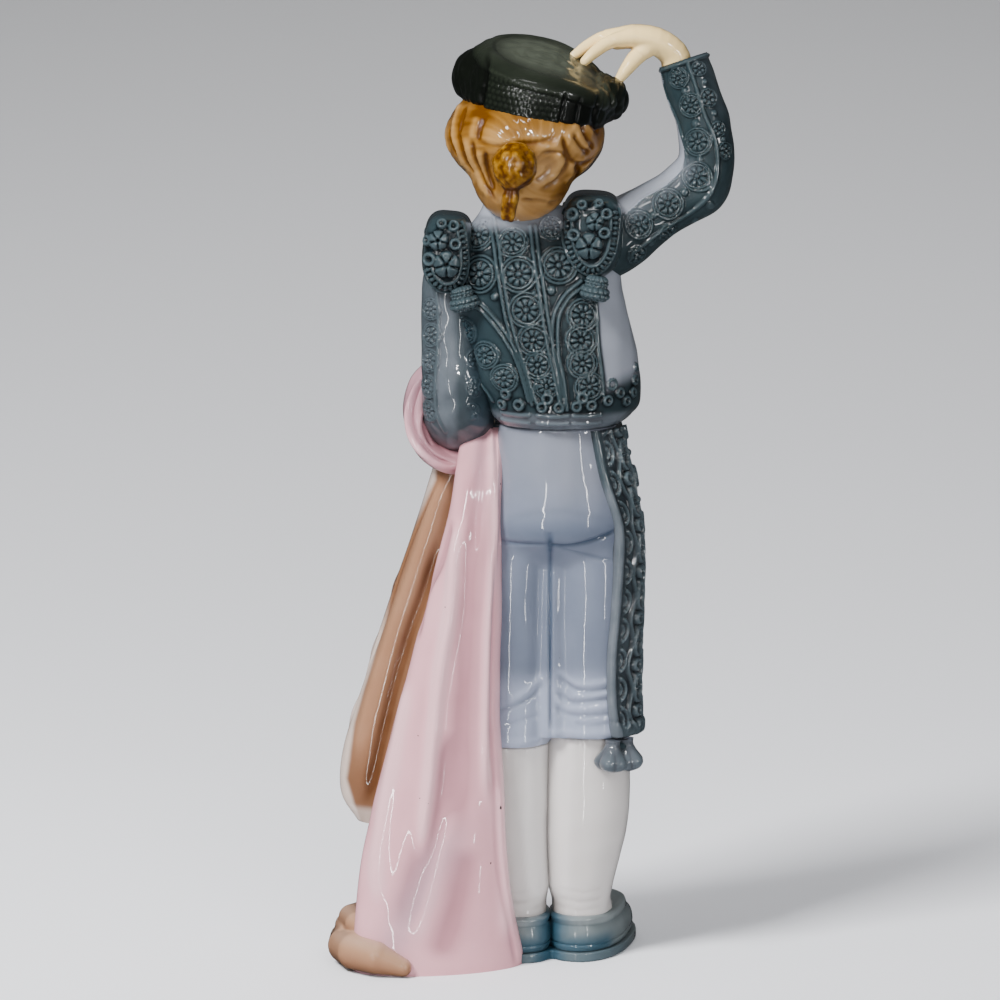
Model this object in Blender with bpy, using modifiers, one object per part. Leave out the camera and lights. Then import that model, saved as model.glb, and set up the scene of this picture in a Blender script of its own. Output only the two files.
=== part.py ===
"""Glazed porcelain figurine of a young bullfighter who steadies a hat with the right hand and carries a cape.

The figure faces -Y and stands on z = 0. Every casting is one object. Tables are in millimetres and the
scene is in metres. The castings meet face to face with JOINT_GAP between them, where the slip joint is.
"""

import math

import bmesh
import bpy
import numpy as np
from mathutils import Euler, Matrix, Vector

MM = 0.001
JOINT_GAP = 0.3
WALL = 3.5
CAVITY_OVERRUN = 6.0
CAVITY_HALF_WIDTH = 15.0
VENT_RADIUS = 3.0
# Moves the design so that the middle of its footprint is the origin.
DESIGN_TO_FRAME = Vector((-1.27, 9.26, 0.0))

BASE_THICKNESS = 3.2
SOLE_LEDGE = 1.1
SHOE_SQUARENESS = 2.3
# The web that joins the two soles: x, y, half width, half depth.
WEB_OUTLINE = (-7.0, -15.0, 14.0, 17.0)
SHOE_BOTTOM = BASE_THICKNESS + JOINT_GAP

# Upright rows: z, x, y, half width, half depth, lean (rise per mm towards +X).
JACKET_ROWS = [
    (183.5, -9.5, 0.0, 20.5, 19.0, 0.0),
    (186.5, -10.0, 0.0, 23.6, 21.2, 0.0),
    (192.0, -11.0, 0.0, 25.6, 22.2, 0.0),
    (207.0, -9.6, 0.0, 25.6, 21.8, -0.02),
    (222.0, -5.0, 0.0, 26.2, 20.6, -0.06),
    (234.0, -1.5, 0.0, 27.5, 19.0, -0.10),
    (242.0, 0.5, 0.0, 27.0, 16.5, -0.14),
    (248.5, 2.0, 0.0, 22.5, 14.0, -0.16),
    (253.0, 3.0, 0.5, 16.0, 12.0, -0.12),
    (256.0, 3.8, 1.0, 12.5, 11.2, -0.05),
    (259.0, 4.0, 1.3, 11.8, 11.0, 0.0),
]
PELVIS_ROWS = [
    (183.2, -9.0, 0.0, 19.5, 17.0),
    (176.0, -9.0, 0.5, 21.0, 18.0),
    (165.0, -9.0, 1.2, 23.6, 19.8),
    (154.0, -8.6, 2.0, 26.0, 21.0),
    (145.0, -8.6, 1.6, 26.3, 20.5),
    (136.0, -8.0, 0.5, 25.0, 18.5),
    (128.0, -7.5, 0.0, 22.0, 16.0),
]
RIGHT_THIGH_ROWS = [
    (150.0, -20.0, 0.0, 13.2, 15.0),
    (138.0, -20.4, 0.0, 14.8, 16.0),
    (122.0, -20.3, 0.0, 14.8, 15.6),
    (106.0, -20.3, 0.0, 14.6, 14.8),
    (90.0, -20.3, 0.0, 14.5, 14.2),
    (82.0, -20.3, 0.0, 14.6, 14.4),
    (78.0, -20.3, 0.0, 14.4, 14.2),
]
LEFT_THIGH_ROWS = [
    (150.0, 3.4, 0.0, 12.2, 15.0),
    (138.0, 4.8, 0.0, 13.2, 15.8),
    (122.0, 5.4, 0.0, 13.0, 15.4),
    (106.0, 5.6, 0.0, 12.8, 14.6),
    (90.0, 5.7, 0.0, 12.7, 14.0),
    (80.0, 5.8, 0.0, 12.9, 14.2),
    (75.0, 5.8, 0.0, 12.8, 14.0),
]
RIGHT_CALF_ROWS = [
    (12.0, -17.6, -5.0, 9.6, 10.6),
    (18.0, -17.1, -4.0, 9.8, 10.4),
    (30.0, -18.1, -3.0, 11.2, 11.2),
    (43.0, -19.4, -2.4, 13.0, 12.6),
    (55.0, -20.0, -2.2, 13.6, 13.2),
    (66.0, -20.1, -2.0, 13.5, 13.2),
    (77.7, -20.2, -1.5, 13.2, 13.0),
]
LEFT_CALF_ROWS = [
    (12.0, 4.4, -3.4, 9.2, 10.4),
    (18.0, 4.0, -2.4, 9.4, 10.2),
    (30.0, 5.4, -1.8, 10.2, 11.0),
    (43.0, 6.8, -1.6, 11.2, 12.2),
    (55.0, 7.0, -1.6, 11.8, 12.8),
    (66.0, 6.8, -1.6, 11.7, 12.8),
    (74.7, 6.4, -1.2, 11.6, 12.6),
]
# Foot rows: z, x, y, half width, half length; the turn is the foot's heading.
FOOT_HEADING = math.radians(15.0)
RIGHT_SHOE_ROWS = [
    (SHOE_BOTTOM, -20.8, -17.1, 12.6, 25.6),
    (5.5, -20.8, -17.1, 13.0, 26.0),
    (9.0, -20.5, -16.6, 12.6, 25.4),
    (12.0, -20.0, -14.8, 11.8, 23.0),
    (13.6, -19.6, -13.2, 10.4, 20.6),
]
LEFT_SHOE_ROWS = [
    (SHOE_BOTTOM, 7.2, -15.0, 12.2, 25.2),
    (5.5, 7.2, -15.0, 12.6, 25.6),
    (9.0, 6.9, -14.6, 12.2, 25.0),
    (12.0, 6.4, -12.8, 11.4, 22.6),
    (13.6, 6.0, -11.2, 10.0, 20.2),
]
# Instep rows run from the ankle towards the toes: x, y, z, half width, half height.
RIGHT_INSTEP_ROWS = [
    (-16.2, 0.0, 13.5, 8.4, 7.0),
    (-18.2, -9.0, 14.0, 9.4, 7.6),
    (-20.6, -18.0, 12.0, 9.2, 5.6),
    (-22.4, -26.0, 9.5, 7.0, 3.6),
]
LEFT_INSTEP_ROWS = [
    (3.6, 1.4, 13.5, 8.2, 7.0),
    (5.4, -7.4, 14.0, 9.2, 7.6),
    (7.6, -16.4, 12.0, 9.0, 5.6),
    (9.4, -24.4, 9.5, 6.8, 3.6),
]
# Trouser panel rows: z, x, y, half width, half depth, first and last angle from the back, in degrees.
RIGHT_PANEL_ROWS = [
    (182.4, -9.0, 0.0, 19.8, 17.2, 32.0, 112.0),
    (165.0, -9.2, 1.0, 23.8, 19.8, 36.0, 112.0),
    (150.0, -12.2, 1.2, 22.8, 19.5, 42.0, 112.0),
    (138.0, -17.6, 0.6, 17.8, 17.2, 34.0, 114.0),
    (122.0, -20.3, 0.0, 14.8, 15.8, 25.0, 115.0),
    (106.0, -20.3, 0.0, 14.6, 15.0, 20.0, 115.0),
    (90.0, -20.3, 0.0, 14.5, 14.4, 21.0, 115.0),
    (78.6, -20.3, 0.0, 14.5, 14.4, 28.0, 115.0),
]
LEFT_PANEL_ROWS = [
    (182.4, -9.0, 0.0, 19.8, 17.2, 50.0, 112.0),
    (165.0, -8.8, 1.0, 23.8, 19.8, 50.0, 112.0),
    (150.0, -4.6, 1.2, 21.8, 19.5, 55.0, 112.0),
    (138.0, 1.6, 0.6, 16.4, 17.0, 60.0, 114.0),
    (122.0, 5.4, 0.0, 13.0, 15.6, 62.0, 120.0),
    (106.0, 5.6, 0.0, 12.8, 14.8, 62.0, 122.0),
    (90.0, 5.7, 0.0, 12.7, 14.2, 62.0, 122.0),
    (75.6, 5.8, 0.0, 12.9, 14.2, 62.0, 122.0),
]
PANEL_SINK = 2.0
PANEL_RELIEF = 2.0
# Arm rows: x, y, z, half width across the reference direction, half width along it.
RIGHT_ARM_ROWS = [
    (-12.0, 0.0, 239.0, 13.0, 12.0),
    (-27.0, -1.0, 245.0, 12.4, 12.0),
    (-40.0, -2.5, 253.0, 10.2, 10.2),
    (-51.0, -4.0, 260.0, 9.8, 9.6),
    (-57.6, -5.5, 268.5, 9.4, 9.4),
    (-57.6, -6.5, 280.0, 9.0, 9.0),
    (-54.2, -7.5, 292.0, 8.6, 8.6),
    (-50.4, -8.5, 303.5, 8.3, 8.3),
]
LEFT_ARM_ROWS = [
    (20.0, 0.0, 243.0, 10.0, 10.0),
    (25.4, -0.5, 233.0, 9.0, 10.2),
    (27.0, 0.0, 220.0, 8.2, 9.6),
    (26.8, 0.8, 206.0, 9.0, 9.8),
    (25.2, 0.8, 195.0, 10.8, 11.4),
    (24.2, -3.6, 185.6, 11.8, 12.2),
    (22.4, -13.6, 182.4, 11.0, 11.0),
    (18.6, -24.0, 184.0, 9.8, 9.4),
    (13.6, -33.0, 187.0, 8.8, 8.6),
]
HEAD_TILT = Euler((math.radians(-13.0), math.radians(-7.0), 0.0))
HEAD_CENTRE = Vector((2.6, -4.0, 281.0))
FACE_RADII = (18.6, 20.5, 23.5)
JAW_CENTRE = Vector((0.0, -7.0, -13.0))
JAW_RADII = (12.4, 13.2, 11.6)
NECK_ROWS = [
    (4.0, 1.5, 256.0, 9.0, 9.0),
    (3.8, 0.0, 264.0, 8.8, 8.8),
    (3.4, -2.0, 274.0, 8.6, 8.6),
]
HAIR_PUFF = (Vector((2.0, 2.0, 279.4)), (26.5, 25.0, 19.0))
HAIR_NAPE = (Vector((3.4, 8.5, 266.5)), (16.4, 14.0, 15.6))
FACE_WINDOW = (Vector((3.2, -27.0, 273.0)), (15.5, 19.0, 24.0))
BUN = (Vector((5.6, 27.5, 271.2)), (7.1, 6.4, 7.9))
TAIL_ROWS = [
    (6.2, 28.0, 266.0, 2.9, 2.6),
    (6.9, 27.0, 260.0, 2.7, 2.4),
    (7.7, 25.4, 254.6, 1.9, 1.7),
]
# Hat rows in the hat's own tilted axes, about HAT_CENTRE: z, x, y, half width, half depth.
HAT_TILT = Euler((math.radians(-9.0), math.radians(-10.0), 0.0))
HAT_CENTRE = Vector((-1.6, 0.5, 291.0))
HAT_ROWS = [
    (-4.0, 0.0, 0.0, 23.4, 22.6),
    (-1.0, 0.0, 0.0, 25.4, 24.6),
    (5.0, 0.0, 0.0, 25.0, 24.2),
    (9.5, 0.3, 0.0, 23.4, 22.6),
    (13.0, 0.6, -0.6, 21.2, 20.2),
    (15.6, 0.8, -1.2, 17.6, 16.6),
    (17.0, 0.8, -1.8, 11.6, 11.0),
    (17.5, 0.8, -2.0, 5.0, 4.8),
]
HAT_LOBE_RADII = (7.9, 8.6, 8.6)
HAT_LOBE_REACH = 21.4
HAT_LOBE_RISE = 4.0
# Digit rows: x, y, z, half width, half height.
RIGHT_HAND_DIGITS = {
    "wrist": [(-48.6, -8.8, 300.5, 6.0, 5.2), (-47.0, -8.6, 305.6, 6.0, 4.9), (-41.2, -8.0, 309.8, 7.0, 4.6),
              (-33.6, -7.6, 311.2, 7.0, 4.1), (-28.4, -7.4, 310.2, 5.6, 3.3)],
    "index": [(-33.0, -3.6, 311.0, 2.7, 2.7), (-26.0, -2.0, 309.8, 2.3, 2.3), (-20.6, -1.6, 306.4, 2.0, 2.0),
              (-16.6, -1.4, 303.2, 1.5, 1.5)],
    "middle": [(-33.0, -6.8, 312.0, 2.7, 2.7), (-25.0, -6.0, 311.4, 2.3, 2.3), (-18.4, -5.6, 308.2, 2.0, 2.0),
               (-14.0, -5.2, 305.0, 1.5, 1.5)],
    "ring": [(-33.0, -10.2, 311.8, 2.6, 2.6), (-25.8, -9.8, 311.0, 2.2, 2.2), (-19.6, -9.4, 308.4, 1.9, 1.9),
             (-15.6, -9.2, 305.4, 1.5, 1.5)],
    "little": [(-34.0, -13.2, 310.8, 2.4, 2.4), (-27.0, -13.2, 310.2, 2.0, 2.0), (-23.0, -13.2, 307.4, 1.7, 1.7),
               (-19.6, -13.0, 304.6, 1.3, 1.3)],
    "thumb": [(-42.0, -5.6, 309.4, 3.0, 3.0), (-35.6, -3.6, 305.6, 2.9, 2.9), (-31.6, -2.6, 301.0, 2.3, 2.3),
              (-29.0, -2.2, 297.4, 1.6, 1.6)],
}
LEFT_HAND_DIGITS = {
    "wrist": [(15.4, -31.0, 186.0, 6.4, 5.6), (11.0, -37.6, 189.0, 6.8, 4.6), (6.6, -42.0, 190.0, 7.0, 4.0),
              (3.0, -44.6, 189.6, 5.6, 3.0)],
    "index": [(8.6, -40.4, 193.0, 2.6, 2.6), (2.4, -46.8, 194.0, 2.4, 2.4), (-1.2, -50.0, 190.6, 2.1, 2.1),
              (-1.6, -50.6, 186.2, 1.6, 1.6)],
    "middle": [(8.4, -40.8, 190.6, 2.6, 2.6), (1.6, -47.4, 190.4, 2.4, 2.4), (-1.8, -50.2, 186.8, 2.1, 2.1),
               (-2.0, -50.6, 182.4, 1.6, 1.6)],
    "ring": [(8.4, -40.2, 187.6, 2.6, 2.6), (1.8, -46.4, 186.8, 2.3, 2.3), (-1.2, -49.0, 183.0, 2.0, 2.0),
             (-1.4, -49.2, 179.0, 1.5, 1.5)],
    "thumb": [(13.2, -36.4, 190.6, 3.2, 3.2), (9.0, -39.4, 196.4, 2.8, 2.8), (4.0, -43.4, 198.6, 2.3, 2.3),
              (0.8, -46.4, 197.8, 1.6, 1.6)],
}
# Cape rows: z, x, y, half width, half depth, turn in degrees.
CAPE_BACK_ROWS = [
    (0.0, 31.2, 13.6, 29.0, 13.0, 12.0),
    (6.0, 31.6, 13.8, 28.6, 12.8, 11.0),
    (20.0, 32.6, 14.4, 26.6, 12.2, 8.0),
    (40.0, 32.6, 14.8, 24.0, 11.4, 5.0),
    (65.0, 30.2, 14.8, 20.6, 10.4, 2.0),
    (90.0, 27.4, 14.6, 16.6, 9.8, 0.0),
    (127.0, 22.4, 14.0, 12.2, 9.4, 0.0),
    (155.0, 18.8, 12.6, 8.6, 8.2, 0.0),
    (170.0, 17.4, 8.6, 7.6, 7.0, 0.0),
    (181.0, 16.8, 1.6, 5.6, 5.2, 0.0),
]
CAPE_FRONT_ROWS = [
    (45.0, 46.4, -9.0, 13.0, 8.0, -16.0),
    (54.0, 47.4, -9.6, 17.6, 9.6, -16.0),
    (68.0, 46.4, -10.4, 18.2, 10.4, -16.0),
    (90.0, 41.8, -12.0, 16.4, 10.8, -18.0),
    (120.0, 35.0, -13.4, 13.4, 11.4, -20.0),
    (150.0, 27.8, -14.0, 10.0, 12.0, -20.0),
    (172.0, 23.4, -14.0, 8.0, 12.4, 0.0),
]
CAPE_WRAP_ROWS = [
    (32.0, -10.0, 202.0, 3.2, 6.0),
    (37.0, -8.0, 194.0, 4.4, 9.0),
    (38.8, -7.0, 184.6, 4.8, 10.0),
    (35.2, -6.0, 174.8, 4.8, 10.4),
    (27.0, -5.0, 170.0, 4.8, 10.4),
    (18.6, -5.0, 171.2, 4.4, 9.4),
]
CAPE_FOLD_ROWS = [
    (43.0, 27.0, 3.6, 3.6, 3.4),
    (52.0, 23.6, 6.6, 6.4, 6.4),
    (60.0, 15.0, 8.0, 8.0, 7.8),
    (61.0, 2.0, 10.0, 8.4, 9.8),
    (55.0, -10.0, 9.0, 8.0, 8.8),
    (46.0, -17.0, 7.0, 7.0, 6.8),
]
# Tassel profile, from the top down: radius, drop.
TASSEL_PROFILE = [(1.9, 0.0), (2.1, 1.8), (3.6, 5.0), (4.6, 7.8), (4.2, 9.4), (2.4, 10.2)]
KNEE_TASSELS = {
    "right_knee_tassel": [Vector((-26.4, 13.6, 76.0)), Vector((-32.4, 8.2, 76.0))],
    "left_knee_tassel": [Vector((15.6, -11.6, 75.0)), Vector((10.4, -14.4, 75.0))],
}
EPAULETTES = {
    "right_epaulette": (Vector((-20.2, 0.6, 245.8)), (10.8, 20.0, 14.8), -5.0),
    "left_epaulette": (Vector((27.6, 0.6, 240.4)), (8.4, 18.6, 13.2), -6.0),
}
EPAULETTE_TASSELS = {
    "right_epaulette_tassel": (Vector((-21.8, 17.4, 234.4)), -10.0),
    "left_epaulette_tassel": (Vector((23.6, 14.2, 230.6)), 14.0),
}
# The shirt front and the tie lie on the jacket rows named here, between two angles from the back.
SHIRT = {"rows": (1.6, 9.6), "angles": (158.0, 202.0), "sink": 1.5, "relief": 1.4}
TIE = {"rows": (5.0, 9.6), "angles": (175.0, 185.0), "sink": 0.6, "relief": 2.6}

# Closed castings with a vent hole underneath: name, rows, lowest and highest level of the hollow, vent x and y.
VENTED = [
    ("cape_back_panel", CAPE_BACK_ROWS, 4.0, 150.0, (31.0, 13.4)),
    ("cape_front_panel", CAPE_FRONT_ROWS, 52.0, 150.0, (46.6, -9.4)),
]

GLAZES = {
    "slate_glaze": (0.045, 0.068, 0.080),
    "pale_blue_glaze": (0.30, 0.33, 0.40),
    "white_glaze": (0.60, 0.58, 0.58),
    "shoe_glaze": (0.16, 0.21, 0.25),
    "skin_glaze": (0.60, 0.47, 0.33),
    "hair_glaze": (0.22, 0.11, 0.03),
    "hat_glaze": (0.028, 0.034, 0.024),
    "pink_glaze": (0.62, 0.44, 0.46),
    "tan_glaze": (0.33, 0.17, 0.10),
}
GLAZE_ROUGHNESS = 0.12


def clear_scene():
    for old in list(bpy.data.objects):
        bpy.data.objects.remove(old)


def new_collection(name):
    collection = bpy.data.collections.new(name)
    bpy.context.scene.collection.children.link(collection)
    return collection


def make_glazes():
    glazes = {}
    for name, colour in GLAZES.items():
        glaze = bpy.data.materials.new(name)
        glaze.use_nodes = True
        shader = glaze.node_tree.nodes["Principled BSDF"]
        shader.inputs["Base Color"].default_value = (*colour, 1.0)
        shader.inputs["Roughness"].default_value = GLAZE_ROUGHNESS
        shader.inputs["Metallic"].default_value = 0.0
        glazes[name] = glaze
    return glazes


def smooth_rows(rows, steps, first=0.0, last=None):
    """The rows resampled on a smooth curve through them, between two row numbers."""
    rows = np.array(rows, float)
    slopes = np.gradient(rows, axis=0)
    place = np.linspace(first, len(rows) - 1 if last is None else last, steps)
    index = np.minimum(place.astype(int), len(rows) - 2)
    t = (place - index)[:, None]
    start, end = rows[index], rows[index + 1]
    return (
        start * (1 + 2 * t) * (1 - t) ** 2
        + end * t**2 * (3 - 2 * t)
        + slopes[index] * t * (1 - t) ** 2
        - slopes[index + 1] * t**2 * (1 - t)
    )


def level_ring(row, around, square=2.0, last_column=None):
    """One section of an upright form: a superellipse. Its row's last column may be a turn or a lean."""
    z, x, y, half_width, half_depth = row[:5]
    lean = row[5] if last_column == "lean" else 0.0
    turn = math.radians(row[5]) if last_column == "turn" else 0.0
    angle = np.linspace(0, 2 * math.pi, around, endpoint=False)
    power = 2.0 / square
    across = half_width * np.sign(np.sin(angle)) * np.abs(np.sin(angle)) ** power
    deep = half_depth * np.sign(np.cos(angle)) * np.abs(np.cos(angle)) ** power
    dx = across * math.cos(turn) - deep * math.sin(turn)
    dy = across * math.sin(turn) + deep * math.cos(turn)
    return [Vector((x + a, y + b, z + lean * a)) for a, b in zip(dx, dy)]


def tube_ring(row, tangent, reference, around):
    """One section across a path: an ellipse with its first half width across the reference direction."""
    x, y, z, across, along = row
    side = (reference - tangent * reference.dot(tangent)).normalized()
    other = tangent.cross(side)
    ring = []
    for step in range(around):
        angle = 2 * math.pi * step / around
        ring.append(
            Vector((x, y, z))
            + other * across * math.cos(angle)
            + side * along * math.sin(angle)
        )
    return ring


def skin_rings(name, rings):
    """A closed mesh through rings of equal count, with a flat cap at each end."""
    mesh = bpy.data.meshes.new(name)
    form = bmesh.new()
    loops = [[form.verts.new(point * MM) for point in ring] for ring in rings]
    count = len(rings[0])
    for lower, upper in zip(loops, loops[1:]):
        for i in range(count):
            j = (i + 1) % count
            form.faces.new((lower[i], lower[j], upper[j], upper[i]))
    form.faces.new(loops[0])
    form.faces.new(loops[-1])
    bmesh.ops.recalc_face_normals(form, faces=form.faces)
    form.to_mesh(mesh)
    form.free()
    mesh.shade_smooth()
    mesh.set_sharp_from_angle(angle=math.radians(50))
    return mesh


def form_object(name, mesh, collection):
    obj = bpy.data.objects.new(name, mesh)
    collection.objects.link(obj)
    return obj


def upright(name, rows, collection, around=20, steps=12, square=2.0, last_column=None):
    rings = [level_ring(row, around, square, last_column) for row in smooth_rows(rows, steps)]
    return form_object(name, skin_rings(name, rings), collection)


def tube(name, rows, collection, reference=(0, 1, 0), around=14, steps=10):
    smoothed = smooth_rows(rows, steps)
    tangents = np.gradient(smoothed[:, :3], axis=0)
    rings = [
        tube_ring(row, Vector(tangent).normalized(), Vector(reference), around)
        for row, tangent in zip(smoothed, tangents)
    ]
    return form_object(name, skin_rings(name, rings), collection)


def ball(name, centre, radii, collection, tilt=None, segments=18, rings=10):
    """An ellipsoid about a centre, turned by an Euler tilt."""
    mesh = bpy.data.meshes.new(name)
    form = bmesh.new()
    bmesh.ops.create_uvsphere(form, u_segments=segments, v_segments=rings, radius=1.0)
    turn = tilt.to_matrix().to_4x4() if tilt else Matrix.Identity(4)
    place = Matrix.Translation(centre * MM) @ turn @ Matrix.Diagonal((*[r * MM for r in radii], 1.0))
    bmesh.ops.transform(form, matrix=place, verts=form.verts)
    form.to_mesh(mesh)
    form.free()
    mesh.shade_smooth()
    return form_object(name, mesh, collection)


def turned(name, profile, top, collection, tilt_degrees=0.0, steps=14):
    """A turned solid hung from its top centre: a profile of radius and drop under a Screw modifier."""
    mesh = bpy.data.meshes.new(name)
    form = bmesh.new()
    points = [(0.0, profile[0][1]), *profile, (0.0, profile[-1][1])]
    corners = [form.verts.new((radius * MM, 0.0, -drop * MM)) for radius, drop in points]
    for upper, lower in zip(corners, corners[1:]):
        form.edges.new((upper, lower))
    form.to_mesh(mesh)
    form.free()
    obj = form_object(name, mesh, collection)
    screw = obj.modifiers.new("Turn", "SCREW")
    screw.axis = "Z"
    screw.steps = screw.render_steps = steps
    screw.use_merge_vertices = True
    screw.merge_threshold = 0.00001
    obj.rotation_euler = (0.0, math.radians(tilt_degrees), 0.0)
    obj.location = top * MM
    return freeze(obj)


def patch(name, rows, angles, sink, relief, collection, across=8):
    """A raised panel that follows a wall: rows of the wall, and one pair of angles from the back per row."""
    rings = []
    for row, (first, last) in zip(rows, angles):
        fan = np.radians(np.linspace(first, last, across))
        ring = []
        for offset, order in ((relief, fan), (-sink, fan[::-1])):
            for angle in order:
                dx = -(row[3] + offset) * math.sin(angle)
                dy = (row[4] + offset) * math.cos(angle)
                lean = row[5] if len(row) > 5 else 0.0
                ring.append(Vector((row[1] + dx, row[2] + dy, row[0] + lean * dx)))
        rings.append(ring)
    return form_object(name, skin_rings(name, rings), collection)


def freeze(obj):
    """Replaces an object's mesh with the one its modifiers and placement make."""
    bpy.context.view_layer.update()
    graph = bpy.context.evaluated_depsgraph_get()
    mesh = bpy.data.meshes.new_from_object(obj.evaluated_get(graph))
    mesh.transform(obj.matrix_world)
    obj.modifiers.clear()
    obj.data = mesh
    obj.matrix_world = Matrix.Identity(4)
    return obj


def boolean(obj, other, operation):
    modifier = obj.modifiers.new(f"{operation.title()} {other.name}", "BOOLEAN")
    modifier.operation = operation
    modifier.solver = "EXACT"
    modifier.object = other
    return modifier


def as_cutter(obj, cutters):
    for collection in list(obj.users_collection):
        collection.objects.unlink(obj)
    cutters.objects.link(obj)
    obj.hide_render = True
    obj.display_type = "WIRE"
    return obj


def joined(name, forms, collection, cutters):
    """One solid from several overlapping forms. The first form's object becomes the piece."""
    piece = forms[0]
    piece.name = name
    for form in forms[1:]:
        boolean(piece, as_cutter(form, cutters), "UNION")
    return freeze(piece)


def swollen(obj, cutters, gap=JOINT_GAP):
    """A cutter in the shape of a neighbour, larger by the joint's gap all over."""
    twin = form_object(f"around_{obj.name}", obj.data, cutters)
    grow = twin.modifiers.new("Joint gap", "DISPLACE")
    grow.strength = gap * MM
    grow.mid_level = 0.0
    return as_cutter(twin, cutters)


def fit_against(piece, neighbours):
    """Trims a piece where it would run into its neighbours' swollen copies, and so leaves the joint's gap."""
    for neighbour in neighbours:
        boolean(piece, neighbour, "DIFFERENCE")


def make_base(parts, cutters):
    soles = []
    for side, rows, heading in (("right", RIGHT_SHOE_ROWS, 1), ("left", LEFT_SHOE_ROWS, -1)):
        x, y, half_width, half_length = rows[1][1:5]
        turn = -math.degrees(FOOT_HEADING) * heading
        outline = (x, y, half_width + SOLE_LEDGE, half_length + SOLE_LEDGE, turn)
        rows_of_sole = [(0.0, *outline), (BASE_THICKNESS, *outline)]
        soles.append(upright(f"{side}_sole", rows_of_sole, parts, 28, 2, SHOE_SQUARENESS, "turn"))
    web = [(0.0, *WEB_OUTLINE), (BASE_THICKNESS, *WEB_OUTLINE)]
    return joined("base_plate", [*soles, upright("web", web, parts, 24, 2)], parts, cutters)


def make_shoe(name, rows, heading, parts):
    turn = -math.degrees(FOOT_HEADING) * heading
    return upright(name, [(*row, turn) for row in rows], parts, 24, 7, SHOE_SQUARENESS, "turn")


def make_leg(name, calf, instep, parts, cutters):
    leg = upright(f"{name}_calf", calf, parts, 20, 11)
    foot = tube(f"{name}_instep", instep, parts, (0, 0, 1), 14, 7)
    return joined(name, [leg, foot], parts, cutters)


def make_breeches(parts, cutters):
    pelvis = upright("pelvis", PELVIS_ROWS, parts, 24, 10)
    right = upright("right_thigh", RIGHT_THIGH_ROWS, parts, 20, 9)
    left = upright("left_thigh", LEFT_THIGH_ROWS, parts, 20, 9)
    return joined("breeches", [pelvis, right, left], parts, cutters)


def make_trouser_panel(name, rows, side, parts):
    smoothed = smooth_rows(rows, 13)
    angles = [(side * row[5], side * row[6]) for row in smoothed]
    return patch(name, [row[:5] for row in smoothed], angles, PANEL_SINK, PANEL_RELIEF, parts)


def make_jacket_panel(name, place, parts, across, steps):
    rows = smooth_rows(JACKET_ROWS, steps, *place["rows"])
    angles = [place["angles"]] * steps
    return patch(name, rows, angles, place["sink"], place["relief"], parts, across)


def make_hand(name, digits, reference, parts, cutters):
    forms = [tube(f"{name}_{digit}", rows, parts, reference, 8, 6) for digit, rows in digits.items()]
    return joined(name, forms, parts, cutters)


def make_head(parts, cutters):
    turn = HEAD_TILT.to_matrix()
    skull = ball("skull", HEAD_CENTRE, FACE_RADII, parts, HEAD_TILT, 20, 12)
    jaw = ball("jaw", HEAD_CENTRE + turn @ JAW_CENTRE, JAW_RADII, parts, HEAD_TILT, 16, 10)
    neck = tube("neck", NECK_ROWS, parts, (0, 1, 0), 16, 4)
    return joined("head", [skull, jaw, neck], parts, cutters)


def make_hair(parts, cutters):
    puff = ball("hair_puff", *HAIR_PUFF, parts, None, 20, 11)
    nape = ball("hair_nape", *HAIR_NAPE, parts, None, 16, 10)
    hair = joined("hair", [puff, nape], parts, cutters)
    boolean(hair, as_cutter(ball("face_window", *FACE_WINDOW, parts), cutters), "DIFFERENCE")
    return hair


def make_bun(parts, cutters):
    knot = ball("bun_knot", *BUN, parts, None, 16, 10)
    tail = tube("bun_tail", TAIL_ROWS, parts, (0, 1, 0), 10, 6)
    return joined("hair_bun", [knot, tail], parts, cutters)


def make_hat(parts, cutters):
    crown = upright("hat_crown", HAT_ROWS, parts, 24, 10)
    turn = HAT_TILT.to_matrix()
    crown.matrix_world = Matrix.Translation(HAT_CENTRE * MM) @ turn.to_4x4()
    freeze(crown)
    lobes = [
        ball(f"hat_lobe_{side:+d}", HAT_CENTRE + turn @ Vector((side * HAT_LOBE_REACH, -1.0, HAT_LOBE_RISE)),
             HAT_LOBE_RADII, parts, HAT_TILT, 14, 8)
        for side in (1, -1)
    ]
    return joined("hat", [crown, *lobes], parts, cutters)


def make_tassel_pair(name, tops, parts, cutters):
    bells = [turned(f"{name}_{i}", TASSEL_PROFILE, top, parts) for i, top in enumerate(tops)]
    tie = tube(f"{name}_tie", [(*top, 2.2, 1.6) for top in (t - Vector((0, 0, 3.4)) for t in tops)], parts,
               (0, 0, 1), 8, 2)
    return joined(name, [*bells, tie], parts, cutters)


def cavity_rows(rows, first, last, open_end=None):
    """Rows for a slip-cast hollow: WALL inside the form, no wider than the mould's core, and past an open end."""
    smoothed = [row for row in smooth_rows(rows, 24) if min(first, last) <= row[0] <= max(first, last)]
    for row in smoothed:
        row[3:5] = np.minimum(row[3:5] - WALL, CAVITY_HALF_WIDTH)
    if open_end is not None:
        end = smoothed[0] if abs(smoothed[0][0] - open_end) < abs(smoothed[-1][0] - open_end) else smoothed[-1]
        end[0] = open_end + math.copysign(CAVITY_OVERRUN, open_end - 0.5 * (first + last))
    return smoothed


def hollow_out(piece, rows, parts, cutters, last_column=None):
    """Empties a slip-cast piece of the form that the rows make."""
    core = upright(f"{piece.name}_core", rows, parts, 14, 7, last_column=last_column)
    boolean(piece, as_cutter(core, cutters), "DIFFERENCE")


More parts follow.
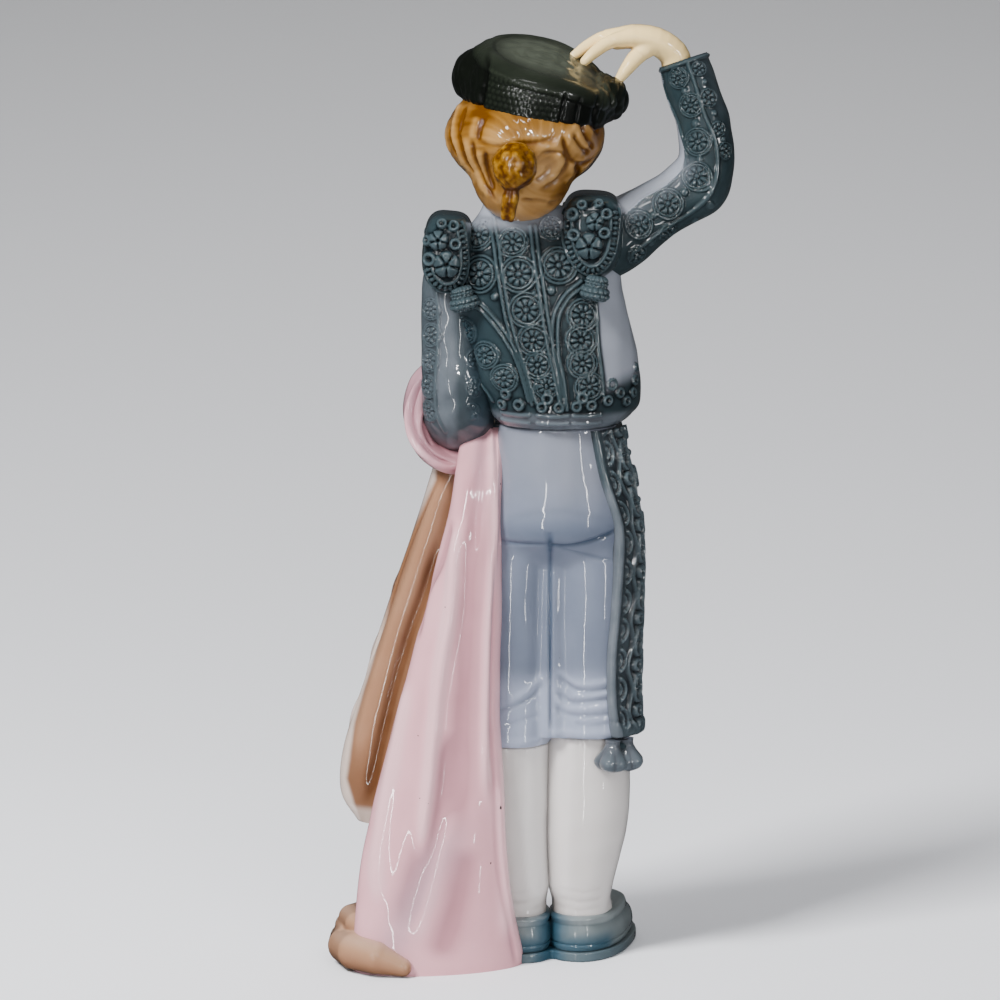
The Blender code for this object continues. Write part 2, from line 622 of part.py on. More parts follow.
def make_cavities(pieces, parts, cutters):
    hollow_out(pieces["jacket"], cavity_rows(JACKET_ROWS, 183.5, 243.0, 183.5), parts, cutters, "lean")
    hollow_out(pieces["breeches"], cavity_rows(PELVIS_ROWS, 183.2, 140.0, 183.2), parts, cutters)
    hollow_out(pieces["right_stocking"], cavity_rows(RIGHT_CALF_ROWS, 22.0, 77.7, 77.7), parts, cutters)
    hollow_out(pieces["left_stocking"], cavity_rows(LEFT_CALF_ROWS, 22.0, 74.7, 74.7), parts, cutters)
    for name, rows, first, last, vent in VENTED:
        hollow_out(pieces[name], cavity_rows(rows, first, last), parts, cutters, "turn")
        vent_rows = [(first - CAVITY_OVERRUN - WALL, *vent, VENT_RADIUS, VENT_RADIUS),
                     (first + CAVITY_OVERRUN, *vent, VENT_RADIUS, VENT_RADIUS)]
        bore = upright(f"{name}_vent", vent_rows, parts, 12, 2)
        boolean(pieces[name], as_cutter(bore, cutters), "DIFFERENCE")


def make_pieces(parts, cutters):
    """Every casting in its full form, before it is trimmed against its neighbours."""
    pieces = {
        "base_plate": make_base(parts, cutters),
        "right_shoe": make_shoe("right_shoe", RIGHT_SHOE_ROWS, 1, parts),
        "left_shoe": make_shoe("left_shoe", LEFT_SHOE_ROWS, -1, parts),
        "right_stocking": make_leg("right_stocking", RIGHT_CALF_ROWS, RIGHT_INSTEP_ROWS, parts, cutters),
        "left_stocking": make_leg("left_stocking", LEFT_CALF_ROWS, LEFT_INSTEP_ROWS, parts, cutters),
        "breeches": make_breeches(parts, cutters),
        "right_trouser_panel": make_trouser_panel("right_trouser_panel", RIGHT_PANEL_ROWS, 1, parts),
        "left_trouser_panel": make_trouser_panel("left_trouser_panel", LEFT_PANEL_ROWS, -1, parts),
        "jacket": upright("jacket", JACKET_ROWS, parts, 24, 14, last_column="lean"),
        "shirt_front": make_jacket_panel("shirt_front", SHIRT, parts, 9, 14),
        "necktie": make_jacket_panel("necktie", TIE, parts, 4, 8),
        "right_sleeve": tube("right_sleeve", RIGHT_ARM_ROWS, parts, (0, 1, 0), 16, 16),
        "left_sleeve": tube("left_sleeve", LEFT_ARM_ROWS, parts, (1, 0, 0), 16, 17),
        "head": make_head(parts, cutters),
        "hair": make_hair(parts, cutters),
        "hair_bun": make_bun(parts, cutters),
        "hat": make_hat(parts, cutters),
        "right_hand": make_hand("right_hand", RIGHT_HAND_DIGITS, (0, 0, 1), parts, cutters),
        "left_hand": make_hand("left_hand", LEFT_HAND_DIGITS, (1, -1, 0), parts, cutters),
        "cape_back_panel": upright("cape_back_panel", CAPE_BACK_ROWS, parts, 24, 12, last_column="turn"),
        "cape_front_panel": upright("cape_front_panel", CAPE_FRONT_ROWS, parts, 20, 10, last_column="turn"),
        "cape_arm_wrap": tube("cape_arm_wrap", CAPE_WRAP_ROWS, parts, (0, 1, 0), 12, 12),
        "cape_floor_fold": tube("cape_floor_fold", CAPE_FOLD_ROWS, parts, (0, 0, 1), 12, 12),
    }
    for name, tops in KNEE_TASSELS.items():
        pieces[name] = make_tassel_pair(name, tops, parts, cutters)
    for name, (centre, radii, roll) in EPAULETTES.items():
        pieces[name] = ball(name, centre, radii, parts, Euler((0, math.radians(roll), 0)), 20, 13)
    for name, (top, roll) in EPAULETTE_TASSELS.items():
        pieces[name] = turned(name, TASSEL_PROFILE, top, parts, roll)
    return pieces


# Each casting, and the neighbours that it is trimmed against.
TRIMS = {
    "left_shoe": ["right_shoe"],
    "right_stocking": ["right_shoe"],
    "left_stocking": ["left_shoe", "right_stocking"],
    "right_trouser_panel": ["breeches"],
    "left_trouser_panel": ["breeches"],
    "right_knee_tassel": ["right_stocking", "right_trouser_panel", "breeches"],
    "left_knee_tassel": ["left_stocking", "left_trouser_panel", "breeches"],
    "shirt_front": ["jacket"],
    "necktie": ["jacket", "shirt_front"],
    "right_sleeve": ["jacket"],
    "left_sleeve": ["jacket"],
    "right_epaulette": ["jacket", "right_sleeve"],
    "left_epaulette": ["jacket", "left_sleeve"],
    "right_epaulette_tassel": ["jacket", "right_sleeve", "right_epaulette"],
    "left_epaulette_tassel": ["jacket", "left_sleeve", "left_epaulette"],
    "head": ["jacket", "shirt_front", "necktie"],
    "hair": ["head", "jacket", "right_epaulette"],
    "hair_bun": ["hair", "jacket"],
    "hat": ["head", "hair"],
    "right_hand": ["right_sleeve", "hat"],
    "left_hand": ["left_sleeve"],
    "cape_arm_wrap": ["left_sleeve", "jacket", "breeches", "left_trouser_panel"],
    "cape_back_panel": ["base_plate", "left_shoe", "left_stocking", "breeches", "left_trouser_panel",
                        "left_sleeve", "jacket", "cape_arm_wrap", "cape_front_panel"],
    "cape_front_panel": ["breeches", "left_trouser_panel", "left_sleeve", "left_hand", "cape_arm_wrap",
                         "left_knee_tassel", "left_stocking"],
    "cape_floor_fold": ["cape_back_panel", "base_plate", "left_shoe"],
}
PIECE_GLAZES = {
    "slate_glaze": ["right_trouser_panel", "left_trouser_panel", "jacket", "right_sleeve", "left_sleeve",
                    "right_epaulette", "left_epaulette", "right_epaulette_tassel", "left_epaulette_tassel",
                    "right_knee_tassel", "left_knee_tassel"],
    "pale_blue_glaze": ["breeches"],
    "white_glaze": ["right_stocking", "left_stocking", "shirt_front"],
    "shoe_glaze": ["right_shoe", "left_shoe", "base_plate"],
    "skin_glaze": ["head", "right_hand", "left_hand"],
    "hair_glaze": ["hair", "hair_bun"],
    "hat_glaze": ["hat", "necktie"],
    "pink_glaze": ["cape_back_panel", "cape_front_panel", "cape_arm_wrap"],
    "tan_glaze": ["cape_floor_fold"],
}


def build_figurine():
    clear_scene()
    parts = new_collection("bullfighter_figurine")
    cutters = new_collection("cutters")
    glazes = make_glazes()
    pieces = make_pieces(parts, cutters)
    around = {name: swollen(pieces[name], cutters) for name in sorted({n for ns in TRIMS.values() for n in ns})}
    for name, neighbours in TRIMS.items():
        fit_against(pieces[name], [around[n] for n in neighbours])
    make_cavities(pieces, parts, cutters)
    for glaze, names in PIECE_GLAZES.items():
        for name in names:
            pieces[name].data.materials.clear()
            pieces[name].data.materials.append(glazes[glaze])
    for obj in [*parts.objects, *cutters.objects]:
        obj.location = DESIGN_TO_FRAME * MM


build_figurine()
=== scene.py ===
"""The figurine's visible model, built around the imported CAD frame.

Lengths inside the script are design millimetres: +x towards the figure's left, +y towards its back,
which the camera sees, and z up from the shelf. make_piece() turns them into the frame's metres. The
forms come from section tables like the CAD's, and the moulded ornament is raised on them in real geometry.
"""

import math

import bpy
import numpy as np
from mathutils import Euler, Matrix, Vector


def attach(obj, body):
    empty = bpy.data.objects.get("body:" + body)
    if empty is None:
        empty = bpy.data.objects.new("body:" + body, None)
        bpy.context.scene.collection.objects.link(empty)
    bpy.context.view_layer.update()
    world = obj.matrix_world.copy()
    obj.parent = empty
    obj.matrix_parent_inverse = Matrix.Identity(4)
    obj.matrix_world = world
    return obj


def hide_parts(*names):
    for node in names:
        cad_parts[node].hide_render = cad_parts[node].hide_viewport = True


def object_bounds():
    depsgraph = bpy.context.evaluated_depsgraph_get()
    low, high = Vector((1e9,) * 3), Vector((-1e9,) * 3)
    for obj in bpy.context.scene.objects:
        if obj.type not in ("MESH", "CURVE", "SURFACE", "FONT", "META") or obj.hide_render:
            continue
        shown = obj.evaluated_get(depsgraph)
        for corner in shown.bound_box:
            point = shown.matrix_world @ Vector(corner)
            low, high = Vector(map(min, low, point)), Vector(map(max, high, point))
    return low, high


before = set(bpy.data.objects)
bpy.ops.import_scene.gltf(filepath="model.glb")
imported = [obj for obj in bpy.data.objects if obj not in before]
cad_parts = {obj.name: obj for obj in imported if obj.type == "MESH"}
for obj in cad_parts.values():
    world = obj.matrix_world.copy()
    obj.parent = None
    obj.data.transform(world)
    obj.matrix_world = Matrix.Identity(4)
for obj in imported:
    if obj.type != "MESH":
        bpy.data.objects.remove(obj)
LOW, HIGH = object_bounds()

DESIGN_HEIGHT = 315.11
DESIGN_CENTRE = np.array((1.27, -9.26, 0.0))
MM = (HIGH.z - LOW.z) / DESIGN_HEIGHT
FRAME_CENTRE = np.array(((LOW.x + HIGH.x) / 2, (LOW.y + HIGH.y) / 2, LOW.z))
UP = np.array((0.0, 0.0, 1.0))
BACK, FRONT = 1.0, -1.0

# Upright rows: z, x, y, half width, half depth, and in some tables a lean or a turn.
JACKET_ROWS = [
    (183.5, -9.5, 0, 20.5, 19, 0),
    (186.5, -10, 0, 23.6, 21.2, 0),
    (192, -11, 0, 25.6, 22.2, 0),
    (207, -9.6, 0, 25.6, 21.8, -0.02),
    (222, -5, 0, 26.2, 20.6, -0.06),
    (234, -1.5, 0, 27.5, 19, -0.1),
    (242, 0.5, 0, 27, 16.5, -0.14),
    (248.5, 2, 0, 22.5, 14, -0.16),
    (253, 3, 0.5, 16, 12, -0.12),
    (256, 3.8, 1, 12.5, 11.2, -0.05),
    (259, 4, 1.3, 11.8, 11, 0),
]
RIGHT_THIGH_ROWS = [
    (150, -20, 0, 13.2, 15),
    (138, -20.4, 0, 14.8, 16),
    (122, -20.3, 0, 14.8, 15.6),
    (106, -20.3, 0, 14.6, 14.8),
    (90, -20.3, 0, 14.5, 14.2),
    (82, -20.3, 0, 14.6, 14.4),
    (78, -20.3, 0, 14.4, 14.2),
]
LEFT_THIGH_ROWS = [
    (150, 3.4, 0, 12.2, 15),
    (138, 4.8, 0, 13.2, 15.8),
    (122, 5.4, 0, 13, 15.4),
    (106, 5.6, 0, 12.8, 14.6),
    (90, 5.7, 0, 12.7, 14),
    (80, 5.8, 0, 12.9, 14.2),
    (75, 5.8, 0, 12.8, 14),
]
RIGHT_CALF_ROWS = [
    (12, -17.6, -5, 9.6, 10.6),
    (18, -17.1, -4, 9.8, 10.4),
    (30, -18.1, -3, 11.2, 11.2),
    (43, -19.4, -2.4, 13, 12.6),
    (55, -20, -2.2, 13.6, 13.2),
    (66, -20.1, -2, 13.5, 13.2),
    (77.7, -20.2, -1.5, 13.2, 13),
]
LEFT_CALF_ROWS = [
    (12, 4.4, -3.4, 9.2, 10.4),
    (18, 4, -2.4, 9.4, 10.2),
    (30, 5.4, -1.8, 10.2, 11),
    (43, 6.8, -1.6, 11.2, 12.2),
    (55, 7, -1.6, 11.8, 12.8),
    (66, 6.8, -1.6, 11.7, 12.8),
    (74.7, 6.4, -1.2, 11.6, 12.6),
]
RIGHT_SHOE_ROWS = [
    (3.5, -20.8, -17.1, 12.6, 25.6),
    (5.5, -20.8, -17.1, 13, 26),
    (9, -20.5, -16.6, 12.6, 25.4),
    (12, -20, -14.8, 11.8, 23),
    (13.6, -19.6, -13.2, 10.4, 20.6),
]
LEFT_SHOE_ROWS = [
    (3.5, 7.2, -15, 12.2, 25.2),
    (5.5, 7.2, -15, 12.6, 25.6),
    (9, 6.9, -14.6, 12.2, 25),
    (12, 6.4, -12.8, 11.4, 22.6),
    (13.6, 6, -11.2, 10, 20.2),
]
SHOE_SQUARENESS = 2.3
SHOE_TURN = 15.0
BASE_THICKNESS = 3.2
SOLE_LEDGE = 1.1
# Path rows: x, y, z, half width across, half width along the reference direction.
RIGHT_INSTEP_ROWS = [
    (-16.6, -2, 14, 7, 6.4),
    (-18.2, -9, 14, 9.4, 7.6),
    (-20.6, -18, 12, 9.2, 5.6),
    (-22.4, -26, 9.5, 7, 3.6),
]
LEFT_INSTEP_ROWS = [
    (3.8, -0.6, 14, 6.8, 6.4),
    (5.4, -7.4, 14, 9.2, 7.6),
    (7.6, -16.4, 12, 9, 5.6),
    (9.4, -24.4, 9.5, 6.8, 3.6),
]
# Side panels: z, x, y, half width, half depth, first and last angle from the back.
RIGHT_PANEL_ROWS = [
    (182.4, -9, 0, 19.8, 17.2, 32, 112),
    (165, -9.2, 1, 23.8, 19.8, 36, 112),
    (150, -12.2, 1.2, 22.8, 19.5, 42, 112),
    (138, -17.6, 0.6, 17.8, 17.2, 34, 114),
    (122, -20.3, 0, 14.8, 15.8, 25, 115),
    (106, -20.3, 0, 14.6, 15, 20, 115),
    (90, -20.3, 0, 14.5, 14.4, 21, 115),
    (78.6, -20.3, 0, 14.5, 14.4, 28, 115),
]
LEFT_PANEL_ROWS = [
    (182.4, -9, 0, 19.8, 17.2, -98, -114),
    (165, -8.8, 1, 23.8, 19.8, -90, -112),
    (150, -4.6, 1.2, 21.8, 19.5, -66, -112),
    (138, 1.6, 0.6, 16.4, 17, -60, -114),
    (122, 5.4, 0, 13, 15.6, -62, -120),
    (106, 5.6, 0, 12.8, 14.8, -62, -122),
    (90, 5.7, 0, 12.7, 14.2, -62, -122),
    (75.6, 5.8, 0, 12.9, 14.2, -62, -122),
]
RIGHT_ARM_ROWS = [
    (-12, 0, 239, 13, 12),
    (-27, -1, 245, 12.4, 12),
    (-40, -2.5, 253, 10.2, 10.2),
    (-51, -4, 260, 9.8, 9.6),
    (-57.6, -5.5, 268.5, 9.4, 9.4),
    (-57.6, -6.5, 280, 9, 9),
    (-54.2, -7.5, 292, 8.6, 8.6),
    (-50.4, -8.5, 303.5, 8.3, 8.3),
]
LEFT_ARM_ROWS = [
    (20, 0, 243, 10, 10),
    (25.4, -0.5, 233, 9, 10.2),
    (27, 0, 220, 8.2, 9.6),
    (26.8, 0.8, 206, 9, 9.8),
    (25.2, 0.8, 195, 10.8, 11.4),
    (24.2, -3.6, 185.6, 11.8, 12.2),
    (22.4, -13.6, 182.4, 11, 11),
    (18.6, -24, 184, 9.8, 9.4),
    (13.6, -33, 187, 8.8, 8.6),
]
HEAD_TILT = Euler((math.radians(-13.0), math.radians(-7.0), 0.0))
HEAD_CENTRE = np.array((2.6, -4.0, 281.0))
NECK_ROWS = [(4, 1.5, 256, 9), (3.8, 0, 264, 8.8), (3.4, -2, 274, 8.6)]
HAT_TILT = Euler((math.radians(-9.0), math.radians(-10.0), 0.0))
HAT_CENTRE = np.array((-1.6, 0.5, 291.0))
# The hat's wall: height, half width and half depth in the hat's own tilted axes.
HAT_WALL = [
    (-4, 23.4, 22.6),
    (-1, 25.4, 24.6),
    (5, 25, 24.2),
    (10, 23.4, 22.8),
    (14, 21.4, 20.8),
    (18, 19.4, 19),
]
RIGHT_WRIST_ROWS = [
    (-48.6, -8.8, 300.5, 6, 5.2),
    (-47, -8.6, 305.6, 6, 4.9),
    (-41.2, -8, 309.8, 7, 4.6),
    (-33.6, -7.6, 311.2, 7, 4.1),
    (-28.4, -7.4, 310.2, 5.6, 3.3),
]
RIGHT_DIGITS = [
    [(-33, -3.6, 311, 2.7), (-26, -2, 309.8, 2.3), (-20.8, -1.6, 306.4, 2), (-17.6, -1.4, 303.4, 1.6)],
    [(-33, -6.8, 312, 2.7), (-25, -6, 311.4, 2.3), (-18.4, -5.6, 308.2, 2), (-14, -5.2, 305, 1.5)],
    [
        (-33, -10.2, 311.8, 2.6), (-25.8, -9.8, 311, 2.2), (-19.6, -9.4, 308.4, 1.9),
        (-15.6, -9.2, 305.4, 1.5),
    ],
    [
        (-34, -13.2, 310.8, 2.4), (-27, -13.2, 310.2, 2), (-23, -13.2, 307.4, 1.7),
        (-19.6, -13, 304.6, 1.3),
    ],
    [(-42, -5.6, 309.4, 3), (-35.6, -3.6, 305.6, 2.9), (-31.6, -2.6, 301, 2.3), (-29, -2.2, 297.4, 1.6)],
]
LEFT_WRIST_ROWS = [
    (15.4, -31, 186, 6.4, 5.6),
    (11, -37.6, 189, 6.8, 4.6),
    (6.6, -42, 190, 7, 4),
    (3, -44.6, 189.6, 5.6, 3),
]
LEFT_DIGITS = [
    [(8.6, -40.4, 193, 2.6), (2.4, -46.8, 194, 2.4), (-1.2, -50, 190.6, 2.1), (-1.6, -50.6, 186.2, 1.6)],
    [
        (8.4, -40.8, 190.6, 2.6), (1.6, -47.4, 190.4, 2.4), (-1.8, -50.2, 186.8, 2.1),
        (-2, -50.6, 182.4, 1.6),
    ],
    [(8.4, -40.2, 187.6, 2.6), (1.8, -46.4, 186.8, 2.3), (-1.2, -49, 183, 2), (-1.4, -49.2, 179, 1.5)],
    [
        (13.2, -36.4, 190.6, 3.2), (9, -39.4, 196.4, 2.8), (4, -43.4, 198.6, 2.3),
        (0.8, -46.4, 197.8, 1.6),
    ],
]
CAPE_BACK_ROWS = [
    (0, 31.2, 13.6, 29, 13, 12),
    (6, 31.6, 13.8, 28.6, 12.8, 11),
    (20, 32.6, 14.4, 26.6, 12.2, 8),
    (40, 32.6, 14.8, 24, 11.4, 5),
    (65, 30.2, 14.8, 20.6, 10.4, 2),
    (90, 27.4, 14.6, 16.6, 9.8, 0),
    (127, 22.4, 14, 12.2, 9.4, 0),
    (155, 18.8, 12.6, 8.6, 8.2, 0),
    (169, 17.4, 8.6, 7.8, 7.2, 0),
    (176, 16.6, 1.6, 7.2, 6.2, 0),
    (181, 15.6, -5, 6.2, 5.2, 0),
]
CAPE_FRONT_ROWS = [
    (45, 46.4, -9, 13, 8, -16),
    (54, 47.4, -9.6, 17.6, 9.6, -16),
    (68, 46.4, -10.4, 18.2, 10.4, -16),
    (90, 41.8, -12, 16.4, 10.8, -18),
    (120, 35, -13.4, 13.4, 11.4, -20),
    (150, 27.8, -14, 10, 12, -20),
    (172, 23.4, -14, 8, 12.4, 0),
]
CAPE_WRAP_ROWS = [
    (32, -10, 202, 3.2, 6),
    (37, -8, 194, 4.4, 9),
    (38.8, -7, 184.6, 4.8, 10),
    (35.2, -6, 174.8, 4.8, 10.4),
    (27, -5, 170, 4.8, 10.4),
    (18.6, -5, 171.2, 4.4, 9.4),
]
TASSEL_PROFILE = [(3, 0), (2.8, 1.8), (4, 4.6), (5.3, 7.4), (4.5, 9.4), (2.4, 10.9), (0.8, 11.2)]
KNOT_PROFILE = [
    (2.2, 0), (3.1, 1.3), (3.4, 2.4), (3, 3.1), (4, 4.5), (4.4, 6.2), (4, 7.6), (2.6, 8.3), (0.9, 8.5),
]


# ---------------------------------------------------------------- curves, grids and meshes


def smooth_rows(rows, places):
    """The rows read on a smooth curve through them, at fractional row numbers."""
    rows = np.array(rows, float)
    slopes = np.gradient(rows, axis=0)
    index = np.clip(places.astype(int), 0, len(rows) - 2)
    t = (places - index)[:, None]
    start, end = rows[index], rows[index + 1]
    return (
        start * (1 + 2 * t) * (1 - t) ** 2
        + end * t**2 * (3 - 2 * t)
        + slopes[index] * t * (1 - t) ** 2
        - slopes[index + 1] * t**2 * (1 - t)
    )


def dense_rows(rows):
    """A table's rows read closely enough for straight lines between them."""
    return smooth_rows(rows, np.linspace(0, len(rows) - 1, 400))


def distances(points):
    """How far along a line each of its points lies."""
    steps = np.linalg.norm(np.diff(points, axis=0), axis=1)
    return np.concatenate([[0.0], np.cumsum(steps)])


def read_at(columns, known, wanted):
    """Columns that are known at some places, read at others."""
    return np.column_stack([np.interp(wanted, known, column) for column in columns.T])


def rows_at(rows, heights):
    """The rows of an upright form, read at the given heights."""
    dense = dense_rows(rows)
    dense = dense[np.argsort(dense[:, 0])]
    return read_at(dense, dense[:, 0], heights)


def levels(rows, count):
    """Heights at equal steps over the whole of an upright form."""
    return np.linspace(rows[0][0], rows[-1][0], count)


def rows_along(rows, count):
    """The rows of a path, read at equal steps along it."""
    dense = dense_rows(rows)
    travelled = distances(dense[:, :3])
    return read_at(dense, travelled, np.linspace(0, travelled[-1], count))


def line_through(points, step=0.8):
    """A smooth line through points, resampled at about the given step."""
    points = np.array(points, float)
    if len(points) == 2:
        dense = points[0] + np.linspace(0, 1, 60)[:, None] * (points[1] - points[0])
    else:
        dense = smooth_rows(points, np.linspace(0, len(points) - 1, 30 * len(points)))
    travelled = distances(dense)
    count = max(2, int(travelled[-1] / step) + 1)
    return read_at(dense, travelled, np.linspace(0, travelled[-1], count))


def full_turn(count):
    """Angles at equal steps all the way round."""
    return np.linspace(0, 2 * math.pi, count, endpoint=False)


def rolled(x, y, z, degrees):
    """A grid of points from its coordinates, turned about the y axis."""
    turn = math.radians(degrees)
    across = x * math.cos(turn) + z * math.sin(turn)
    upward = z * math.cos(turn) - x * math.sin(turn)
    return np.stack([across, y, upward], axis=2)


def tilted(x, y, z, tilt):
    """Offsets read in tilted axes."""
    turn = np.array(tilt.to_matrix())
    return (x * turn[0][i] + y * turn[1][i] + z * turn[2][i] for i in range(3))


def fan(dense_half, dense_step, coarse_step):
    """Angles from the back all the way round, close together on the side that faces the back."""
    dense = np.arange(-dense_half, dense_half, dense_step)
    coarse = np.arange(dense_half, 2 * math.pi - dense_half, coarse_step)
    return np.concatenate([dense, coarse])


def signed_power(value, power):
    return np.sign(value) * np.abs(value) ** power


def level_grid(rows, angles, square=2.0, last_column=None):
    """Superellipse sections, one per row, as a grid of points."""
    z, x, y, half_width, half_depth = (rows[:, i][:, None] for i in range(5))
    lean = rows[:, 5][:, None] if last_column == "lean" else 0.0
    turn = np.radians(rows[:, 5][:, None]) if last_column == "turn" else 0.0
    across = half_width * signed_power(-np.sin(angles), 2 / square)[None, :]
    deep = half_depth * signed_power(np.cos(angles), 2 / square)[None, :]
    dx = across * np.cos(turn) - deep * np.sin(turn)
    dy = across * np.sin(turn) + deep * np.cos(turn)
    return np.stack([x + dx, y + dy, z + lean * dx], axis=2)


def path_grid(rows, reference, angles):
    """Elliptical sections across a path, as a grid of points."""
    centres = rows[:, :3]
    tangents = np.gradient(centres, axis=0)
    tangents /= np.linalg.norm(tangents, axis=1)[:, None]
    reference = np.array(reference, float)
    side = reference - tangents * (tangents @ reference)[:, None]
    side /= np.linalg.norm(side, axis=1)[:, None]
    other = np.cross(tangents, side)
    across = rows[:, 3][:, None, None] * other[:, None, :] * np.cos(angles)[None, :, None]
    along = rows[:, 4][:, None, None] * side[:, None, :] * np.sin(angles)[None, :, None]
    return centres[:, None, :] + across + along


def grid_normals(grid):
    """Unit normals of a grid whose columns close on themselves, pointing away from each row's middle."""
    around = np.roll(grid, -1, axis=1) - np.roll(grid, 1, axis=1)
    along = np.gradient(grid, axis=0)
    normals = np.cross(around, along)
    normals /= np.linalg.norm(normals, axis=2)[..., None] + 1e-9
    outward = grid - grid.mean(axis=1, keepdims=True)
    middle = slice(len(grid) // 4, -(len(grid) // 4) or None)
    return normals if np.sum(normals[middle] * outward[middle]) > 0 else -normals


def grid_shape(grid, **attributes):
    """Points, faces and per-point attributes of a closed grid, with a cap at each end."""
    rows, columns = grid.shape[:2]
    here = np.arange(rows * columns).reshape(rows, columns)
    beside = np.roll(here, -1, axis=1)
    quads = np.stack([here[:-1], beside[:-1], beside[1:], here[1:]], axis=2).reshape(-1, 4)
    points = grid.reshape(-1, 3)
    ends = np.stack([grid[0].mean(axis=0), grid[-1].mean(axis=0)])
    low, high = len(points), len(points) + 1
    first = np.column_stack([beside[0], here[0], np.full(columns, low)])
    last = np.column_stack([here[-1], beside[-1], np.full(columns, high)])
    values = {}
    for key, value in attributes.items():
        flat = np.broadcast_to(value, (rows, columns)).reshape(-1)
        values[key] = np.concatenate([flat, [flat[0], flat[-1]]])
    return {"points": np.vstack([points, ends]), "faces": [quads, first, last], "values": values}


def mesh_shape(points, quads, **attributes):
    """Points, faces and per-point attributes of a quad mesh."""
    values = {key: np.broadcast_to(value, len(points)) for key, value in attributes.items()}
    return {"points": points, "faces": [quads], "values": values}


def make_piece(name, shapes, material):
    """One visible piece made of shapes. It stands for the CAD node of its name and rides on the frame."""
    points, faces, values, offset = [], [], {}, 0
    keys = sorted({key for shape in shapes for key in shape["values"]})
    for shape in shapes:
        points.append(shape["points"])
        faces.extend(block + offset for block in shape["faces"])
        for key in keys:
            blank = np.zeros(len(shape["points"]))
            values.setdefault(key, []).append(shape["values"].get(key, blank))
        offset += len(shape["points"])
    points = (np.vstack(points) - DESIGN_CENTRE) * MM + FRAME_CENTRE
    mesh = bpy.data.meshes.new(name)
    mesh.from_pydata(points.tolist(), [], [face for block in faces for face in block.tolist()])
    mesh.validate()
    mesh.update()
    for key in keys:
        attribute = mesh.attributes.new(key, "FLOAT", "POINT")
        attribute.data.foreach_set("value", np.concatenate(values[key]).astype(np.float32))
    mesh.materials.append(material)
    mesh.shade_smooth()
    mesh.set_sharp_from_angle(angle=math.radians(70))
    obj = bpy.data.objects.new(name, mesh)
    bpy.context.scene.collection.objects.link(obj)
    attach(obj, "root")
    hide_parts(name)


# ---------------------------------------------------------------- soft forms from distance fields


